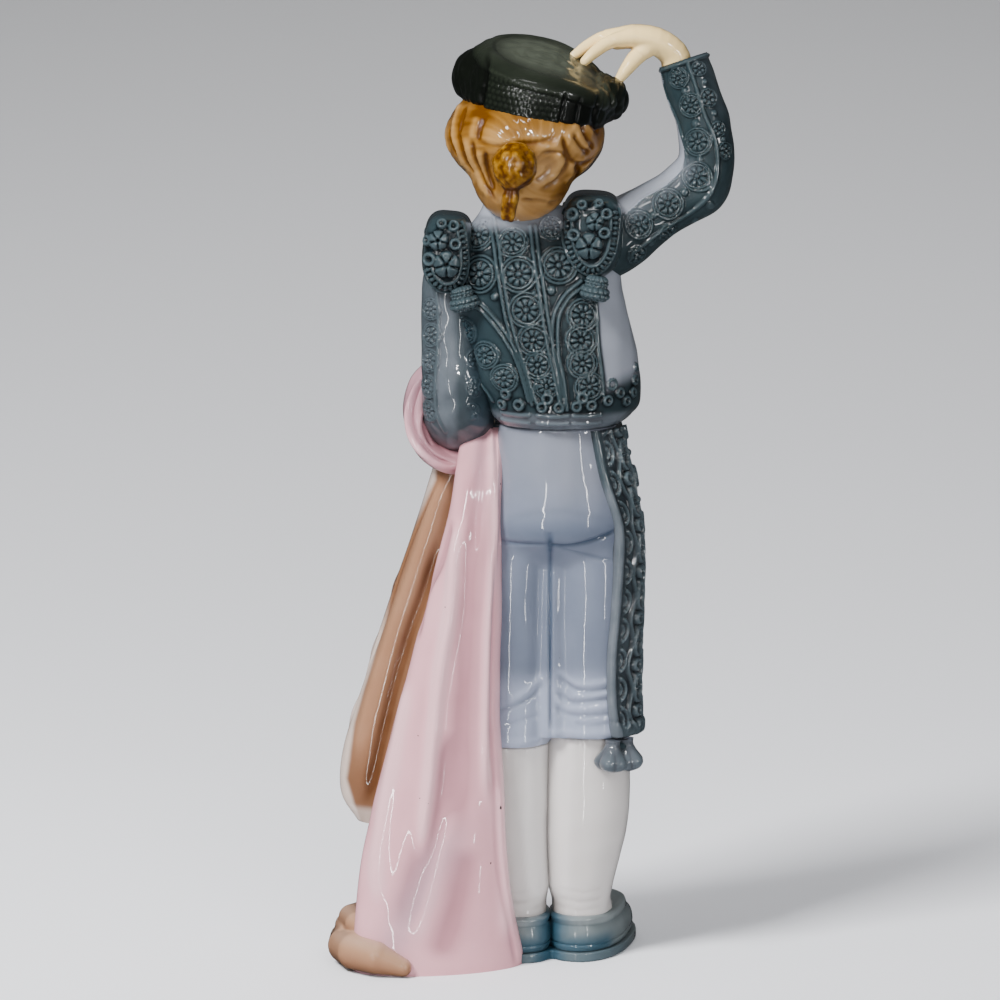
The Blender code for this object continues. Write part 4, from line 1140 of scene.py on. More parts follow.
def make_right_sleeve():
    relief, welt = arm_relief(rows_along(RIGHT_ARM_ROWS, 330), (0, 1, 0), 133.0)
    for side in (BACK, FRONT):
        relief.each(relief.rosette, RIGHT_SLEEVE_ROSETTES, 0.75, 8, side, rim=0.18)
        relief.each(relief.rosette, RIGHT_SLEEVE_OUTER, 0.8, 6, side)
        relief.each(relief.bead, RIGHT_SLEEVE_DOTS, 0.7, side)
        relief.cord(RIGHT_SLEEVE_CORD, 0.75, 0.75, side)
        relief.cord(RIGHT_SLEEVE_INNER, 0.7, 0.6, side)
    relief.height = np.maximum(relief.height, welt)
    x, _, z = relief.points.T
    elbow = np.exp(-((x + 61.0) ** 2 + (z - 258.0) ** 2) / 60.0)
    relief.height += 2.4 * elbow * step_up(-relief.normals[:, 0] - 0.7 * relief.normals[:, 2], 0.0, 0.6)
    relief.height += 0.14 * ripple(relief.points, 10.0, 8)
    # The plain strip inside the inner cord is pale both as plain glaze and as a painted highlight, and the
    # faces that look up are painted paler as a highlight from above.
    plain = np.where(within(x, z, RIGHT_SLEEVE_PLAIN), 0.8, 0.0)
    plain = np.maximum(plain, 0.25 * step_up(relief.normals[:, 2], 0.1, 0.8))
    finish_sleeve("right_sleeve", relief, plain)


LEFT_SLEEVE_EDGE = [(31.6, 230), (30.8, 220), (31, 208), (31.8, 197), (31.4, 188), (28.6, 181)]
LEFT_SLEEVE_ROSETTES = [
    (33.2, 222, 3), (33.2, 213.6, 3.2), (33.6, 205, 3.2), (34.2, 196.4, 3.2), (34, 188, 3),
]
LEFT_SLEEVE_FAINT = [(19.6, 214, 3), (18.8, 205.4, 3.3), (18.6, 196.4, 3.3), (19.4, 188, 2.8)]


def make_left_sleeve():
    relief, welt = arm_relief(rows_along(LEFT_ARM_ROWS, 330), (1, 0, 0), 102.0)
    relief.cord(LEFT_SLEEVE_EDGE, 0.7, 0.6)
    for x, z, radius in LEFT_SLEEVE_ROSETTES:
        relief.rosette(x, z, radius, 0.75, 7, rim=0.18)
        relief.rosette(x - 1.0, z, radius, 0.75, 7, FRONT, rim=0.18)
    relief.each(relief.rosette, LEFT_SLEEVE_FAINT, 0.35, 7)
    relief.groove([(30.0, 189.0), (25.0, 186.6), (19.0, 188.6)], 1.6, 0.5)
    relief.groove([(28.6, 196.0), (24.4, 193.4), (20.0, 194.6)], 1.6, 0.3)
    relief.height = np.maximum(relief.height, welt)
    x, _, z = relief.points.T
    behind = relief.normals[:, 1] > 0
    relief.height += 0.16 * ripple(relief.points, 10.0, 12)
    edge_x, edge_z = zip(*LEFT_SLEEVE_EDGE[::-1])
    outer = np.interp(z, edge_z, edge_x)
    band = step_up(outer - x, 0.0, 0.8) * step_up(x, 21.6, 26.6) * step_up(236.0 - z, 0.0, 12.0)
    plain = np.where(behind, 0.24 * band, 0.0)
    plain = np.maximum(plain, np.where(behind, 0.10, 0.05))
    pool = np.where(behind, 0.5 * step_up(23.6 - x, 0.0, 6.0) * step_up(226.0 - z, 0.0, 20.0), 0.0)
    finish_sleeve("left_sleeve", relief, plain, pool)


# ---------------------------------------------------------------- epaulettes and tassels

# Each epaulette: centre, radii, roll, border line, flowers and rings as (x, z, radius).
EPAULETTES = {
    "right_epaulette": (
        (-20, 0.6, 246.4), (10.4, 18.6, 14.2), -3,
        [
            (-28.2, 256), (-28, 249), (-26.6, 241.6), (-23.1, 236.2), (-18.6, 234.9), (-14.2, 238.2),
            (-11.4, 244), (-10.6, 251), (-10.8, 256.4),
        ],
        [(-18.9, 244.3, 4.5), (-20.4, 252.2, 3)],
        [
            (-13.9, 248.1, 2.2), (-23.9, 248.6, 2.1), (-24.4, 254.7, 1.9), (-13.6, 254.4, 2.3),
            (-16.6, 257.2, 1.8), (-21.8, 257.8, 1.7),
        ],
    ),
    "left_epaulette": (
        (27.9, 0.6, 240.8), (8.3, 17.6, 13), -5,
        [
            (23, 251.6), (21.9, 246), (21.4, 239.6), (22.2, 233.6), (25, 229.6), (29, 229),
            (32.6, 231.6), (34.6, 235.8),
        ],
        [(30.6, 246, 3.3), (27.9, 238, 4.5)],
        [(25.7, 250.4, 2), (25, 244.8, 2), (33.4, 239.8, 2.4), (34, 245.6, 1.9), (29.4, 251, 1.8)],
    ),
}
EPAULETTE_TASSELS = {
    "right_epaulette_tassel": ((-21.8, 17.4, 234.4), -10),
    "left_epaulette_tassel": ((23.6, 14.2, 230.6), 14),
}
KNEE_TASSELS = {
    "right_knee_tassel": [(-27.4, 13.2, 77.8), (-31.8, 8.8, 77.4)],
    "left_knee_tassel": [(15.6, -11.6, 75), (10.4, -14.4, 75)],
}


def make_epaulette(name):
    centre, radii, roll, border, flowers, rings = EPAULETTES[name]
    polar = np.linspace(0.0001, math.pi - 0.0001, 4000)
    profile = np.stack([signed_power(np.sin(polar), 0.5), signed_power(np.cos(polar), 0.5)], axis=1)
    travelled = distances(profile * radii[:2])
    wanted = np.linspace(0.3, travelled[-1] - 0.3, 210)
    reach = np.interp(wanted, travelled, profile[:, 0])[:, None]
    around = full_turn(190)[None, :]
    corner = 0.86 - 0.26 * step_up(np.sin(around), 0.0, 0.5)
    x = radii[0] * reach * signed_power(np.cos(around), corner)
    z = radii[2] * reach * signed_power(np.sin(around), corner)
    y = radii[1] * np.interp(wanted, travelled, profile[:, 1])[:, None] + 0 * around
    relief = grid_relief(rolled(x, y, z, roll) + np.array(centre))

    def drawn_in(share_x, share_z):
        middle_x, _, middle_z = centre
        return [(middle_x + share_x * (x - middle_x), middle_z + share_z * (z - middle_z)) for x, z in border]

    for side in (BACK, FRONT):
        border = drawn_in(0.90, 0.90)
        relief.bars(border, 1.65, 1.35, 0.75, 0.9, side)
        for shares in ((1.17, 1.13), (0.80, 0.85)):
            relief.cord(drawn_in(*shares), 0.6, 0.8, side)
        relief.each(relief.blossom, flowers, 2.0, 5, side)
        relief.each(relief.ringlet, rings, 1.5, side)
    moved, _ = relief.moved()
    make_piece(name, [grid_shape(moved, lift=relief.outlined(3, 1.7))], SLATE)


def bell(top, tilt, profile=TASSEL_PROFILE, beaded=False):
    """A hanging bell with fringes, or a knot covered in rows of small beads."""
    rows = smooth_rows(profile, np.linspace(0, len(profile) - 1, 100))
    around = full_turn(110)
    radius, drop = rows[:, :1], rows[:, 1:]
    share = drop / profile[-1][1]
    if beaded:
        row = drop / 1.9
        column = around * 7 / math.pi + 0.5 * (np.floor(row) % 2)
        raised = 0.75 * dome((row % 1) - 0.5, 0.5) * dome((column % 1) - 0.5, 0.5) * (radius > 2.0)
    else:
        fringe = 0.9 * np.abs(np.cos(2.5 * around)) * step_up(share, 0.2, 0.7)
        raised = fringe * step_up(1 - share, 0.0, 0.12) - 0.3
    r = radius + raised
    x, y, z = r * np.cos(around), r * np.sin(around), -drop + 0 * around
    lift = np.clip(raised * 1.3 + 0 * around, -0.6, 1)
    return grid_shape(rolled(x, y, z, tilt) + np.array(top), lift=lift, plain=0.0 if beaded else 0.2)


def tassel_tie(first, second):
    """The short cord between two tassels."""
    rows = np.array([(*first, 2.0, 1.5), (*second, 2.0, 1.5)], float)
    rows[:, 2] -= 3.2
    middle = (rows[0] + rows[1]) / 2 + np.array((0, 0, 0.8, 0, 0))
    rows = rows_along([rows[0], middle, rows[1]], 30)
    grid = path_grid(rows, (0, 0, 1), full_turn(28))
    return grid_shape(grid, lift=0.3)


def make_tassels():
    for name, (top, tilt) in EPAULETTE_TASSELS.items():
        make_piece(name, [bell(top, tilt, KNOT_PROFILE, True)], SLATE)
    for name, tops in KNEE_TASSELS.items():
        shapes = [bell(top, 4.0 * (i * 2 - 1)) for i, top in enumerate(tops)]
        make_piece(name, [*shapes, tassel_tie(*tops)], SLATE)


# ---------------------------------------------------------------- shirt and tie


def patch_grid(rows, first, last, relief, sink, across, inner=10):
    """A raised panel on a wall. Outer face first, then inner face, with rounded edges between them."""
    share = np.linspace(0, 1, across)
    outer = np.radians(first[:, None] + (last - first)[:, None] * share)
    under = np.radians(last[:, None] + (first - last)[:, None] * np.linspace(0, 1, inner))
    width = np.abs(np.radians(last - first))[:, None] * rows[:, 3:4]
    edge = np.minimum(share, 1 - share)[None, :] * width
    rise = relief * np.sqrt(np.clip(1 - (1 - np.clip(edge / 1.4, 0, 1)) ** 2, 0, 1))
    angles = np.hstack([outer, under])
    offset = np.hstack([rise, np.full(under.shape, -sink)])
    dx = -(rows[:, 3:4] + offset) * np.sin(angles)
    dy = (rows[:, 4:5] + offset) * np.cos(angles)
    lean = rows[:, 5:6] if rows.shape[1] > 5 else 0.0
    return np.stack([rows[:, 1:2] + dx, rows[:, 2:3] + dy, rows[:, :1] + lean * dx], axis=2), width


def make_shirt():
    rows = smooth_rows(JACKET_ROWS, np.linspace(1.6, 9.6, 190))
    first, last = np.full(len(rows), 158.0), np.full(len(rows), 202.0)
    grid, _ = patch_grid(rows, first, last, 1.4, 1.5, 84)
    relief = grid_relief(grid)
    across = np.hstack([np.linspace(-1, 1, 84), np.full(10, 9.0)])[None, :] * np.ones((len(rows), 1))
    z = grid[..., 2]
    ruffle = np.zeros(z.shape)
    for side in (-1, 1):
        band = dome(across - side * 0.56, 0.3)
        ruffle = np.maximum(ruffle, 0.9 * band * (0.55 + 0.45 * np.sin(z * 2.1 + 2.6 * np.abs(across))))
    ruffle[:, 84:] = 0
    relief.height = ruffle.reshape(-1)
    moved, lift = relief.moved()
    make_piece("shirt_front", [grid_shape(moved, lift=0.3 + 0.5 * lift)], WHITE_GLAZE)


def make_necktie():
    rows = smooth_rows(JACKET_ROWS, np.linspace(5.0, 9.6, 120))
    z = rows[:, 0]
    half = 5.0 * (0.55 + 0.45 * step_up(246.0 - z, 0.0, 14.0)) + 1.6 * dome(z - 250.5, 3.0)
    grid, _ = patch_grid(rows, 180.0 - half, 180.0 + half, 2.6, 0.5, 40)
    relief = grid_relief(grid)
    middle = jacket_centre(247)
    relief.groove([(middle - 3.4, 247.2), (middle + 3.4, 247.2)], 0.6, 0.5, FRONT)
    moved, lift = relief.moved()
    make_piece("necktie", [grid_shape(moved, lift=lift)], HAT_GLAZE)


# ---------------------------------------------------------------- side panels of the breeches


def panel_pattern(s, z, width):
    """Height of the side panel's open-work, at distance s from its back edge and at height z."""
    inner, outer = 10.0, 15.8
    near = (z / inner) % 1 * inner - inner / 2
    ring = (z / outer) % 1 * outer - outer / 2
    oval = ((z + outer / 2) / outer) % 1 * outer - outer / 2
    inner_rings = np.hypot((s - 3.6) / 0.62, near)
    inner_eyes = np.hypot((s - 3.2) / 0.55, near / 0.8)
    wave = np.cos(2 * math.pi * oval / outer)
    spine = 10.8
    ridges = [
        1.0 * dome(s - 1.3, 1.2),
        1.1 * dome(inner_rings - 3.7, 0.75) * (s > 3.8),
        0.7 * dome(inner_eyes - 2.2, 0.6) * (s > 3.6),
        1.3 * dome(s - 7.6 - 1.0 * wave, 0.75),
        2.0 * dome(np.hypot((s - spine) / 0.46, oval) - 4.6, 0.95),
        1.5 * dome(oval, 0.6) * (np.abs(s - spine) < 1.9),
        1.2 * dome(s - spine - 0.2 * oval, 0.45) * (np.abs(oval) < 3.6),
        2.1 * dome(np.hypot(s - 10.6, ring) - 1.6, 0.85),
        1.6 * dome(s - 14.2 + 1.1 * wave, 0.8),
        1.4 * dome(np.hypot((s - 17.6) / 0.6, ring) - 3.2, 0.8),
        1.2 * dome(np.hypot(s - 17.4, oval), 1.3),
        1.0 * dome(s - width + 1.6, 1.3),
    ]
    return np.maximum.reduce(ridges)


def make_trouser_panel(name, table):
    top, bottom = table[0][0], table[-1][0]
    heights = np.linspace(bottom, top, 290)
    rows = rows_at(table, heights)
    first, last = rows[:, 5], rows[:, 6]
    outer = 96
    grid, width = patch_grid(rows[:, :5], first, last, 1.7, 2.0, outer)
    chart = np.linspace(0, 1, outer)[None, :] * width
    pattern = np.zeros(grid.shape[:2])
    pattern[:, :outer] = panel_pattern(chart, heights[:, None] + 0 * chart, width)
    flare = step_up(bottom + 7.0 - heights, 0.0, 6.0)[:, None]
    pattern[:, :outer] *= 1 - 0.75 * flare
    hem = 0.9 * flare + 1.1 * dome(heights - bottom - 2.6, 2.6)[:, None]
    pattern[:, :outer] += hem * dome(chart / width - 0.5, 0.52)
    relief = grid_relief(grid)
    upper = step_up(heights, 160.0, 170.0)[:, None]
    pattern[:, :outer] *= 1 - 0.7 * upper * step_up(3.4 - chart, 0.0, 0.6)
    relief.height = pattern.reshape(-1)
    moved, _ = relief.moved()
    piping = np.zeros(pattern.shape)
    piping[:, :outer] = 0.24 * step_up(2.7 - chart, 0.0, 0.5) * (1 - upper)
    lift = relief.outlined(3, 1.3)
    shape = grid_shape(moved, lift=lift, plain=np.maximum(piping, 0.06))
    make_piece(name, [shape], SLATE)


# ---------------------------------------------------------------- breeches, stockings and shoes

SEAT_ROWS = [
    (183.2, -9, 0, 19.5, 17),
    (176, -9, 0.5, 21, 18),
    (165, -9, 1.2, 23.6, 19.6),
    (154, -8.6, 1.8, 26, 20.4),
    (147, -8.6, 1.6, 26.3, 19.6),
    (142, -8.4, 0.6, 26, 16.6),
    (136, -8.2, 0, 24, 11),
]
CROTCH_ROWS = [
    (150, -7, 0, 9, 14),
    (122, -7, 0, 9, 13.4),
    (90, -7, 0, 9, 12.4),
    (78, -7, 0, 8, 12.4),
]
SEAT_CREASES = [
    ([(13, 146.6), (6, 145.2), (-6.2, 145.4)], 0.8, 0.5),
    ([(-5.4, 145), (-12, 144.6), (-20, 146.2), (-29, 149.6)], 0.8, 1),
    ([(-8, 144.4), (-17.7, 141.3), (-28, 138.6)], 0.7, 0.4),
    ([(9, 153.2), (1.6, 155), (-6.5, 156.4), (-15.4, 155.4), (-28, 152.6)], 1.4, 0.15),
    ([(-6, 150), (-6.2, 147), (-6.2, 142)], 1.2, 0.35),
]
LEG_CREASES = [
    ([(-6.3, 147), (-6.3, 136), (-6.3, 120), (-6.4, 100), (-6.6, 74)], 0.55, 0.7),
    ([(-9, 99.4), (-13.6, 95.6), (-19.3, 94.6), (-27.4, 95.6)], 0.8, 0.6),
    ([(-8.6, 94.2), (-12.9, 90.6), (-19.3, 91), (-27.4, 92.2)], 0.8, 0.6),
    ([(-7.8, 90.2), (-11.4, 86.4), (-20, 86.2), (-27.8, 86.6)], 0.8, 0.5),
    ([(-14, 83.4), (-20, 82.8), (-27.8, 83.4)], 0.8, 0.3),
    ([(12, 87.4), (5.4, 89.6), (0, 92.2), (-4.6, 97)], 0.8, 0.5),
    ([(10, 82.6), (3, 84.6), (-4, 86)], 0.9, 0.25),
]
LEG_RIDGES = [
    ([(-8.4, 102), (-13, 98), (-19, 97), (-27, 98)], 1.2, 0.45),
    ([(-13.2, 93), (-19.3, 92.8), (-27, 93.9)], 0.9, 0.35),
    ([(-7.6, 92.4), (-11.6, 88.6), (-19, 88.6), (-27, 89.2)], 1.1, 0.4),
    ([(8, 91), (2, 94), (-4.6, 100)], 1.2, 0.5),
]


def make_breeches():
    block = Block((-39, -24, 72), (22, 26, 186), 0.62)
    block.add(block.column(SEAT_ROWS), 0.1)
    seat = block.field.copy()
    block.field[:] = 1e3
    block.add(block.column(RIGHT_THIGH_ROWS), 0.1)
    block.add(block.column(LEFT_THIGH_ROWS), 1.0)
    block.add(block.column(CROTCH_ROWS), 1.6)
    block.add(seat, 3.0)
    relief, quads = block.relief()
    for side in (BACK, FRONT):
        for line, width, deep in (SEAT_CREASES if side == BACK else []) + LEG_CREASES:
            relief.groove(line, width, deep, side)
        for line, width, tall in LEG_RIDGES:
            relief.groove(line, width, -tall, side)
    x, _, z = relief.points.T
    hem = np.where(x < -7.0, 78.0, 75.0)
    relief.height += 0.35 * swell(z - hem - 2.0, 1.2) + 0.08 * ripple(relief.points, 15.0, 2)
    # Painted shade: darker along the seat crease and under the jacket's hem, in a thin line between the legs,
    # and over the left leg, where the cape's shadow falls.
    shade = 0.22 * swell(z - 149.0, 4.0) + 0.4 * swell(z - 183.0, 4.0)
    middle = 0.4 * swell(x + 6.3, 0.9) * step_up(149.0 - z, 0, 4.0)
    left_leg_shade = 0.10 * step_up(x, -6.3, -5.0) * step_up(146.0 - z, 0, 30.0) * step_up(z, 88.0, 110.0)
    knees = 0.6 * step_up(104.0 - z, 0.0, 10.0)
    moved, lift = relief.moved()
    lift = np.clip(0.5 * lift + 0.25 - shade - middle - left_leg_shade + knees, -1, 1)
    shape = mesh_shape(moved, quads, lift=lift, plain=0.6 * step_up(z, 150.0, 172.0))
    make_piece("breeches", [shape], BREECHES_GLAZE)


def make_stocking(name, calf, instep, ankle_x):
    low = [row[1] - row[3] for row in calf] + [row[0] - row[3] for row in instep]
    high = [row[1] + row[3] for row in calf] + [row[0] + row[3] for row in instep]
    block = Block((min(low) - 2, -32, 4), (max(high) + 2, 13.5, calf[-1][0] + 1.5), 0.55)
    block.add(block.column(calf), 0.1)
    block.add(block.flat_strand(instep, (0, 0, 1)), 4.0)
    relief, quads = block.relief()
    for z, deep in ((24.0, 0.14), (20.6, 0.18), (17.4, 0.14)):
        relief.groove([(ankle_x - 8, z + 1.2), (ankle_x, z), (ankle_x + 8, z + 1.0)], 0.9, deep)
        crease = [(ankle_x - 8, z + 0.4), (ankle_x, z - 0.6), (ankle_x + 8, z + 0.8)]
        relief.groove(crease, 0.9, deep, FRONT)
    x, _, z = relief.points.T
    inward = relief.normals[:, 0] * (1 if name == "right_stocking" else -1)
    calf = step_up(inward, 0.2, 0.9) * step_up(z, 18.0, 26.0)
    relief.height += 1.3 * calf + 0.06 * ripple(relief.points, 14.0, 9)
    moved, lift = relief.moved()
    # Painted shade: the stockings are darker where they face each other between the legs.
    inner = 0.6 * swell(x + 6.6, 4.0)
    shape = mesh_shape(moved, quads, lift=np.clip(lift + 0.35 - inner, -1, 1))
    make_piece(name, [shape], WHITE_GLAZE)


def make_shoe(name, table, turn):
    heights = np.concatenate([np.linspace(3.5, 13.6, 60), np.full(14, 13.6)])
    rows = np.column_stack([rows_at(table, heights), np.full(len(heights), turn)])
    inset = np.concatenate([np.zeros(60), np.linspace(0.3, 6.5, 14)])
    rows[:, 3] -= inset
    rows[:, 4] -= inset
    rows[:, 0] -= np.concatenate([np.zeros(60), np.linspace(0.0, 1.2, 14)])
    grid = level_grid(rows, fan(math.pi - 0.05, 0.022, 0.022), SHOE_SQUARENESS, "turn")
    relief = grid_relief(grid)
    z = relief.points[:, 2]
    level = np.repeat(np.arange(len(rows)), grid.shape[1])
    relief.height += 1.9 * step_up(level, 50.0, 59.0) - 0.35 * swell(z - 5.6, 0.5)
    relief.height += 0.3 * swell(z - 9.5, 2.4)
    moved, lift = relief.moved()
    y = moved[..., 1]
    x = moved[..., 0]
    pool = 0.75 * step_up(11.5 - moved[..., 2], 0.0, 6.0) * step_up(y, -4.0, 4.0)
    pool = np.maximum(pool, 0.9 * swell(x + 7.0, 6.0) * step_up(y, -6.0, 2.0))
    shape = grid_shape(moved, lift=np.clip(0.4 * lift + 0.15, -1, 1), pool=pool)
    make_piece(name, [shape, bow(table, turn)], SHOE_GLAZE)


def bow(table, turn):
    """A small flat bow on the vamp, which the picture does not show."""
    angle = math.radians(turn)
    ahead = np.array((math.sin(angle), -math.cos(angle)))
    middle = np.array(table[2][1:3]) + ahead * 19.5
    block = Block((middle[0] - 8, middle[1] - 5, 7), (middle[0] + 8, middle[1] + 6, 16), 0.4)
    for side in (-1, 1):
        loop = (middle[0] + side * 3.0, middle[1], 12.0)
        block.add(block.ellipsoid(loop, (3.0, 1.7, 1.3)), 0.5)
    block.add(block.ellipsoid((middle[0], middle[1], 12.2), (1.3, 1.5, 1.5)), 0.4)
    points, quads = block.skin(1)
    return mesh_shape(points, quads, lift=0.4)


def make_base():
    block = Block((-40, -46, -1.8), (26, 16, 5.4), 0.45)
    for table, turn in ((RIGHT_SHOE_ROWS, -SHOE_TURN), (LEFT_SHOE_ROWS, SHOE_TURN)):
        _, x, y, wide, long = table[1]
        outline = [(z, x, y, wide + SOLE_LEDGE, long + SOLE_LEDGE) for z in (0.0, BASE_THICKNESS)]
        block.add(block.column(outline, SHOE_SQUARENESS, turn), 1.2)
    web = [(z, -7.0, -15.0, 14.0, 17.0) for z in (0.0, BASE_THICKNESS)]
    block.add(block.column(web), 2.0)
    points, quads = block.skin(1)
    points[:, 2] = np.clip(points[:, 2], 0.0, BASE_THICKNESS)
    x, y = points[:, 0], points[:, 1]
    pool = np.maximum(0.35, 0.9 * swell(x + 6.0, 7.0)) * step_up(y, -20.0, 0.0)
    shape = mesh_shape(points, quads, lift=0.1, pool=pool)
    make_piece("base_plate", [shape], SHOE_GLAZE)


# ---------------------------------------------------------------- head, hair and hat


def in_axes(centre, tilt, place):
    """A place given in tilted axes about a centre."""
    return np.array(centre) + np.array(tilt.to_matrix()) @ np.array(place, float)


def to_axes(points, centre, tilt):
    """Points read in tilted axes about a centre."""
    return (points - np.array(centre)) @ np.array(tilt.to_matrix())


def make_head():
    block = Block((-20, -29, 254), (25, 20, 306), 0.45)

    def lump(place, radii, blend):
        block.add(block.ellipsoid(in_axes(HEAD_CENTRE, HEAD_TILT, place), radii, HEAD_TILT), blend)

    def hollow(place, radii, blend):
        block.carve(block.ellipsoid(in_axes(HEAD_CENTRE, HEAD_TILT, place), radii, HEAD_TILT), blend)

    lump((0, 0.5, 2), (17.6, 19.6, 20.5), 0.1)
    lump((0, -6, -11), (12.6, 12.4, 11.5), 5.0)
    lump((0, -15.2, -18.2), (4.6, 3.4, 3.4), 3.0)
    for side in (-1, 1):
        lump((side * 8.2, -12.6, -6.6), (5.4, 5.0, 5.4), 4.0)
        hollow((side * 6.6, -20.6, 0.4), (4.6, 3.6, 3.0), 2.4)
        lump((side * 6.5, -15.4, 0.2), (3.2, 3.0, 2.2), 0.7)
    lump((0, -17.4, 5.0), (8.4, 3.0, 3.0), 3.0)
    nose = [((0, -18.4, 1.6), 1.3), ((0, -20.6, -5.6), 1.9)]
    nose = [(*in_axes(HEAD_CENTRE, HEAD_TILT, place), radius) for place, radius in nose]
    block.add(block.strand(nose), 1.8)
    for side in (-1, 1):
        lump((side * 1.7, -19.0, -6.2), (1.3, 1.5, 1.1), 0.9)
    lump((0, -17.2, -11.0), (3.9, 1.9, 1.0), 0.9)
    lump((0, -16.9, -13.2), (3.4, 1.9, 1.2), 0.9)
    block.add(block.strand(NECK_ROWS), 3.0)
    block.keep_above(256.0)
    points, quads = block.skin()
    local = to_axes(points, HEAD_CENTRE, HEAD_TILT)
    x, y, z = local.T
    face = step_up(-y, 10.0, 12.0)
    side_x = np.abs(x)
    white = face * (np.hypot((side_x - 6.5) / 2.5, (z - 0.1) / 1.15) < 1)
    iris = face * (np.hypot(side_x - 6.4, z - 0.1) < 1.05)
    lid = face * (np.abs(z - 1.35 + 0.13 * (side_x - 6.5) ** 2) < 0.28) * (np.abs(side_x - 6.5) < 3.0)
    brow = face * swell(z - 5.3 + 0.07 * (side_x - 6.4) ** 2, 0.55) * (np.abs(side_x - 6.8) < 3.9)
    lips = face * (np.hypot(x / 3.5, (z + 12.1) / 1.7) < 1)
    blush = 0.35 * face * np.exp(-(((side_x - 8.6) / 3.6) ** 2) - ((z + 6.4) / 3.2) ** 2)
    shape = mesh_shape(
        points,
        quads,
        lift=0.3,
        white=white.astype(float),
        iris=np.maximum(iris, lid).astype(float),
        brow=np.clip(brow * 1.2, 0, 1),
        lips=lips.astype(float) * 0.85,
        blush=blush,
    )
    make_piece("head", [shape], SKIN_GLAZE)


HAIR_GROOVES = [
    [(21.5, 289.5), (23, 285), (24, 280.5)],
    [(15.5, 286.5), (17, 282.5), (17.5, 279)],
    [(24.4, 281.5), (22.5, 275.5), (21, 271), (18.5, 267.5)],
    [(27, 282.5), (26.5, 277.5), (24, 273)],
    [(19.5, 279.5), (18.5, 273.5), (15, 264.5), (11.5, 258.5)],
    [(19, 280), (15, 278), (10.5, 277.5), (4.5, 278.5), (-2, 279), (-9, 280.5)],
    [(-2, 275.5), (-9, 275.5), (-11.5, 272), (-9, 266.5), (-2, 263)],
    [(-10, 281), (-11, 275.5), (-13.5, 272), (-18.5, 271), (-21, 273)],
    [(-13, 281.5), (-16, 276.5), (-19.5, 274)],
    [(-16, 284.5), (-17.5, 279.5), (-21, 275.5)],
    [(-18, 285.5), (-20.5, 282.5), (-22.5, 281)],
    [(-14, 271), (-15.5, 267.5), (-13, 264)],
    [(4.5, 260), (-2, 259.5), (-9, 257.5)],
    [(15, 276), (14.6, 269), (12, 262)],
    [(-6, 271), (-4, 267.6), (-1, 266.2)],
]
# The shallow line over the bun, which does not go on round the front.
BAND_GROOVE = HAIR_GROOVES[5]
BUN_CENTRE = np.array((5.6, 27.5, 271.2))


def make_hair():
    block = Block((-29, -24, 248), (32, 29.5, 302), 0.55)
    block.add(block.ellipsoid((2, 2, 279.4), (26.2, 24.6, 18.6)), 0.1)
    block.add(block.ellipsoid((3.4, 8.5, 266.5), (16.2, 13.7, 15.3)), 3.0)
    block.carve(block.ellipsoid((3.2, -27, 273), (15.5, 19, 24)), 1.2)
    relief, quads = block.relief()
    for line in HAIR_GROOVES:
        shallow = line is BAND_GROOVE
        deep = 0.5 if shallow else 0.9
        relief.groove(line, 0.85, deep)
        relief.groove([(x + 2.1, z + 0.6) for x, z in line], 1.6, -0.5 * deep)
        if not shallow:
            relief.groove(line, 0.7, 0.7, FRONT)
    x, y, z = relief.points.T
    swirl = np.arctan2(z - 272.0, x - 5.6) + 0.05 * np.hypot(x - 5.6, z - 272.0)
    strands = np.sin(swirl * 26 + 1.3 * ripple(relief.points, 14.0, 4)) + 0.6 * np.sin(swirl * 47 + 2.0)
    relief.height += 0.05 * strands * step_up(np.hypot(x - 5.6, z - 272.0), 5.0, 9.0)
    relief.height += 0.2 * ripple(relief.points, 11.0, 7)
    # Painted shade: the hair is darker just under the hat.
    shade_under_hat = 0.5 * step_up(z, 280.5, 287.0)
    nape = step_up(262.0 - z, 0.0, 4.0) * (y > 5)
    bare = np.exp(-(((x + 3.0) / 6.0) ** 2) - ((z - 269.5) / 5.0) ** 2)
    moved, lift = relief.moved()
    lift = np.clip(1.6 * lift + 0.35 - shade_under_hat, -1, 1)
    pale = np.clip(0.7 * bare + 0.35 * nape, 0, 1)
    shape = mesh_shape(moved, quads, lift=lift, pale=pale)
    make_piece("hair", [shape], HAIR_GLAZE)


def make_bun():
    block = Block((-4, 18, 251), (15, 36, 281), 0.34)
    block.add(block.ellipsoid(BUN_CENTRE, (7.3, 6.5, 8.1)), 0.1)
    block.add(block.strand([(6.2, 28, 266, 3.2), (6.9, 27, 260, 3.0), (7.7, 25.4, 255.0, 2.4)]), 1.4)
    relief, quads = block.relief(1)
    x, z = relief.points[:, 0] - BUN_CENTRE[0], relief.points[:, 2] - BUN_CENTRE[2]
    radius, angle = np.hypot(x, z), np.arctan2(z, x)
    lumps = 0.22 * ripple(relief.points, 3.6, 3)
    coil = 0.12 * np.sin(angle * 2 + radius * 1.15)
    fold = 0.3 * np.sin(1.7 * (x - 1.4) + 0.2 * z)
    tail = step_up(-z, 7.0, 8.6)
    relief.height += (lumps + coil) * (1 - tail) + fold * tail - 0.1
    pinch = swell(z + 8.0, 1.0)
    relief.height -= 0.5 * pinch
    moved, lift = relief.moved()
    lift = np.clip(0.9 * lift + 0.2 - 0.7 * pinch, -1, 1)
    shape = mesh_shape(moved, quads, lift=lift)
    make_piece("hair_bun", [shape], BUN_GLAZE)


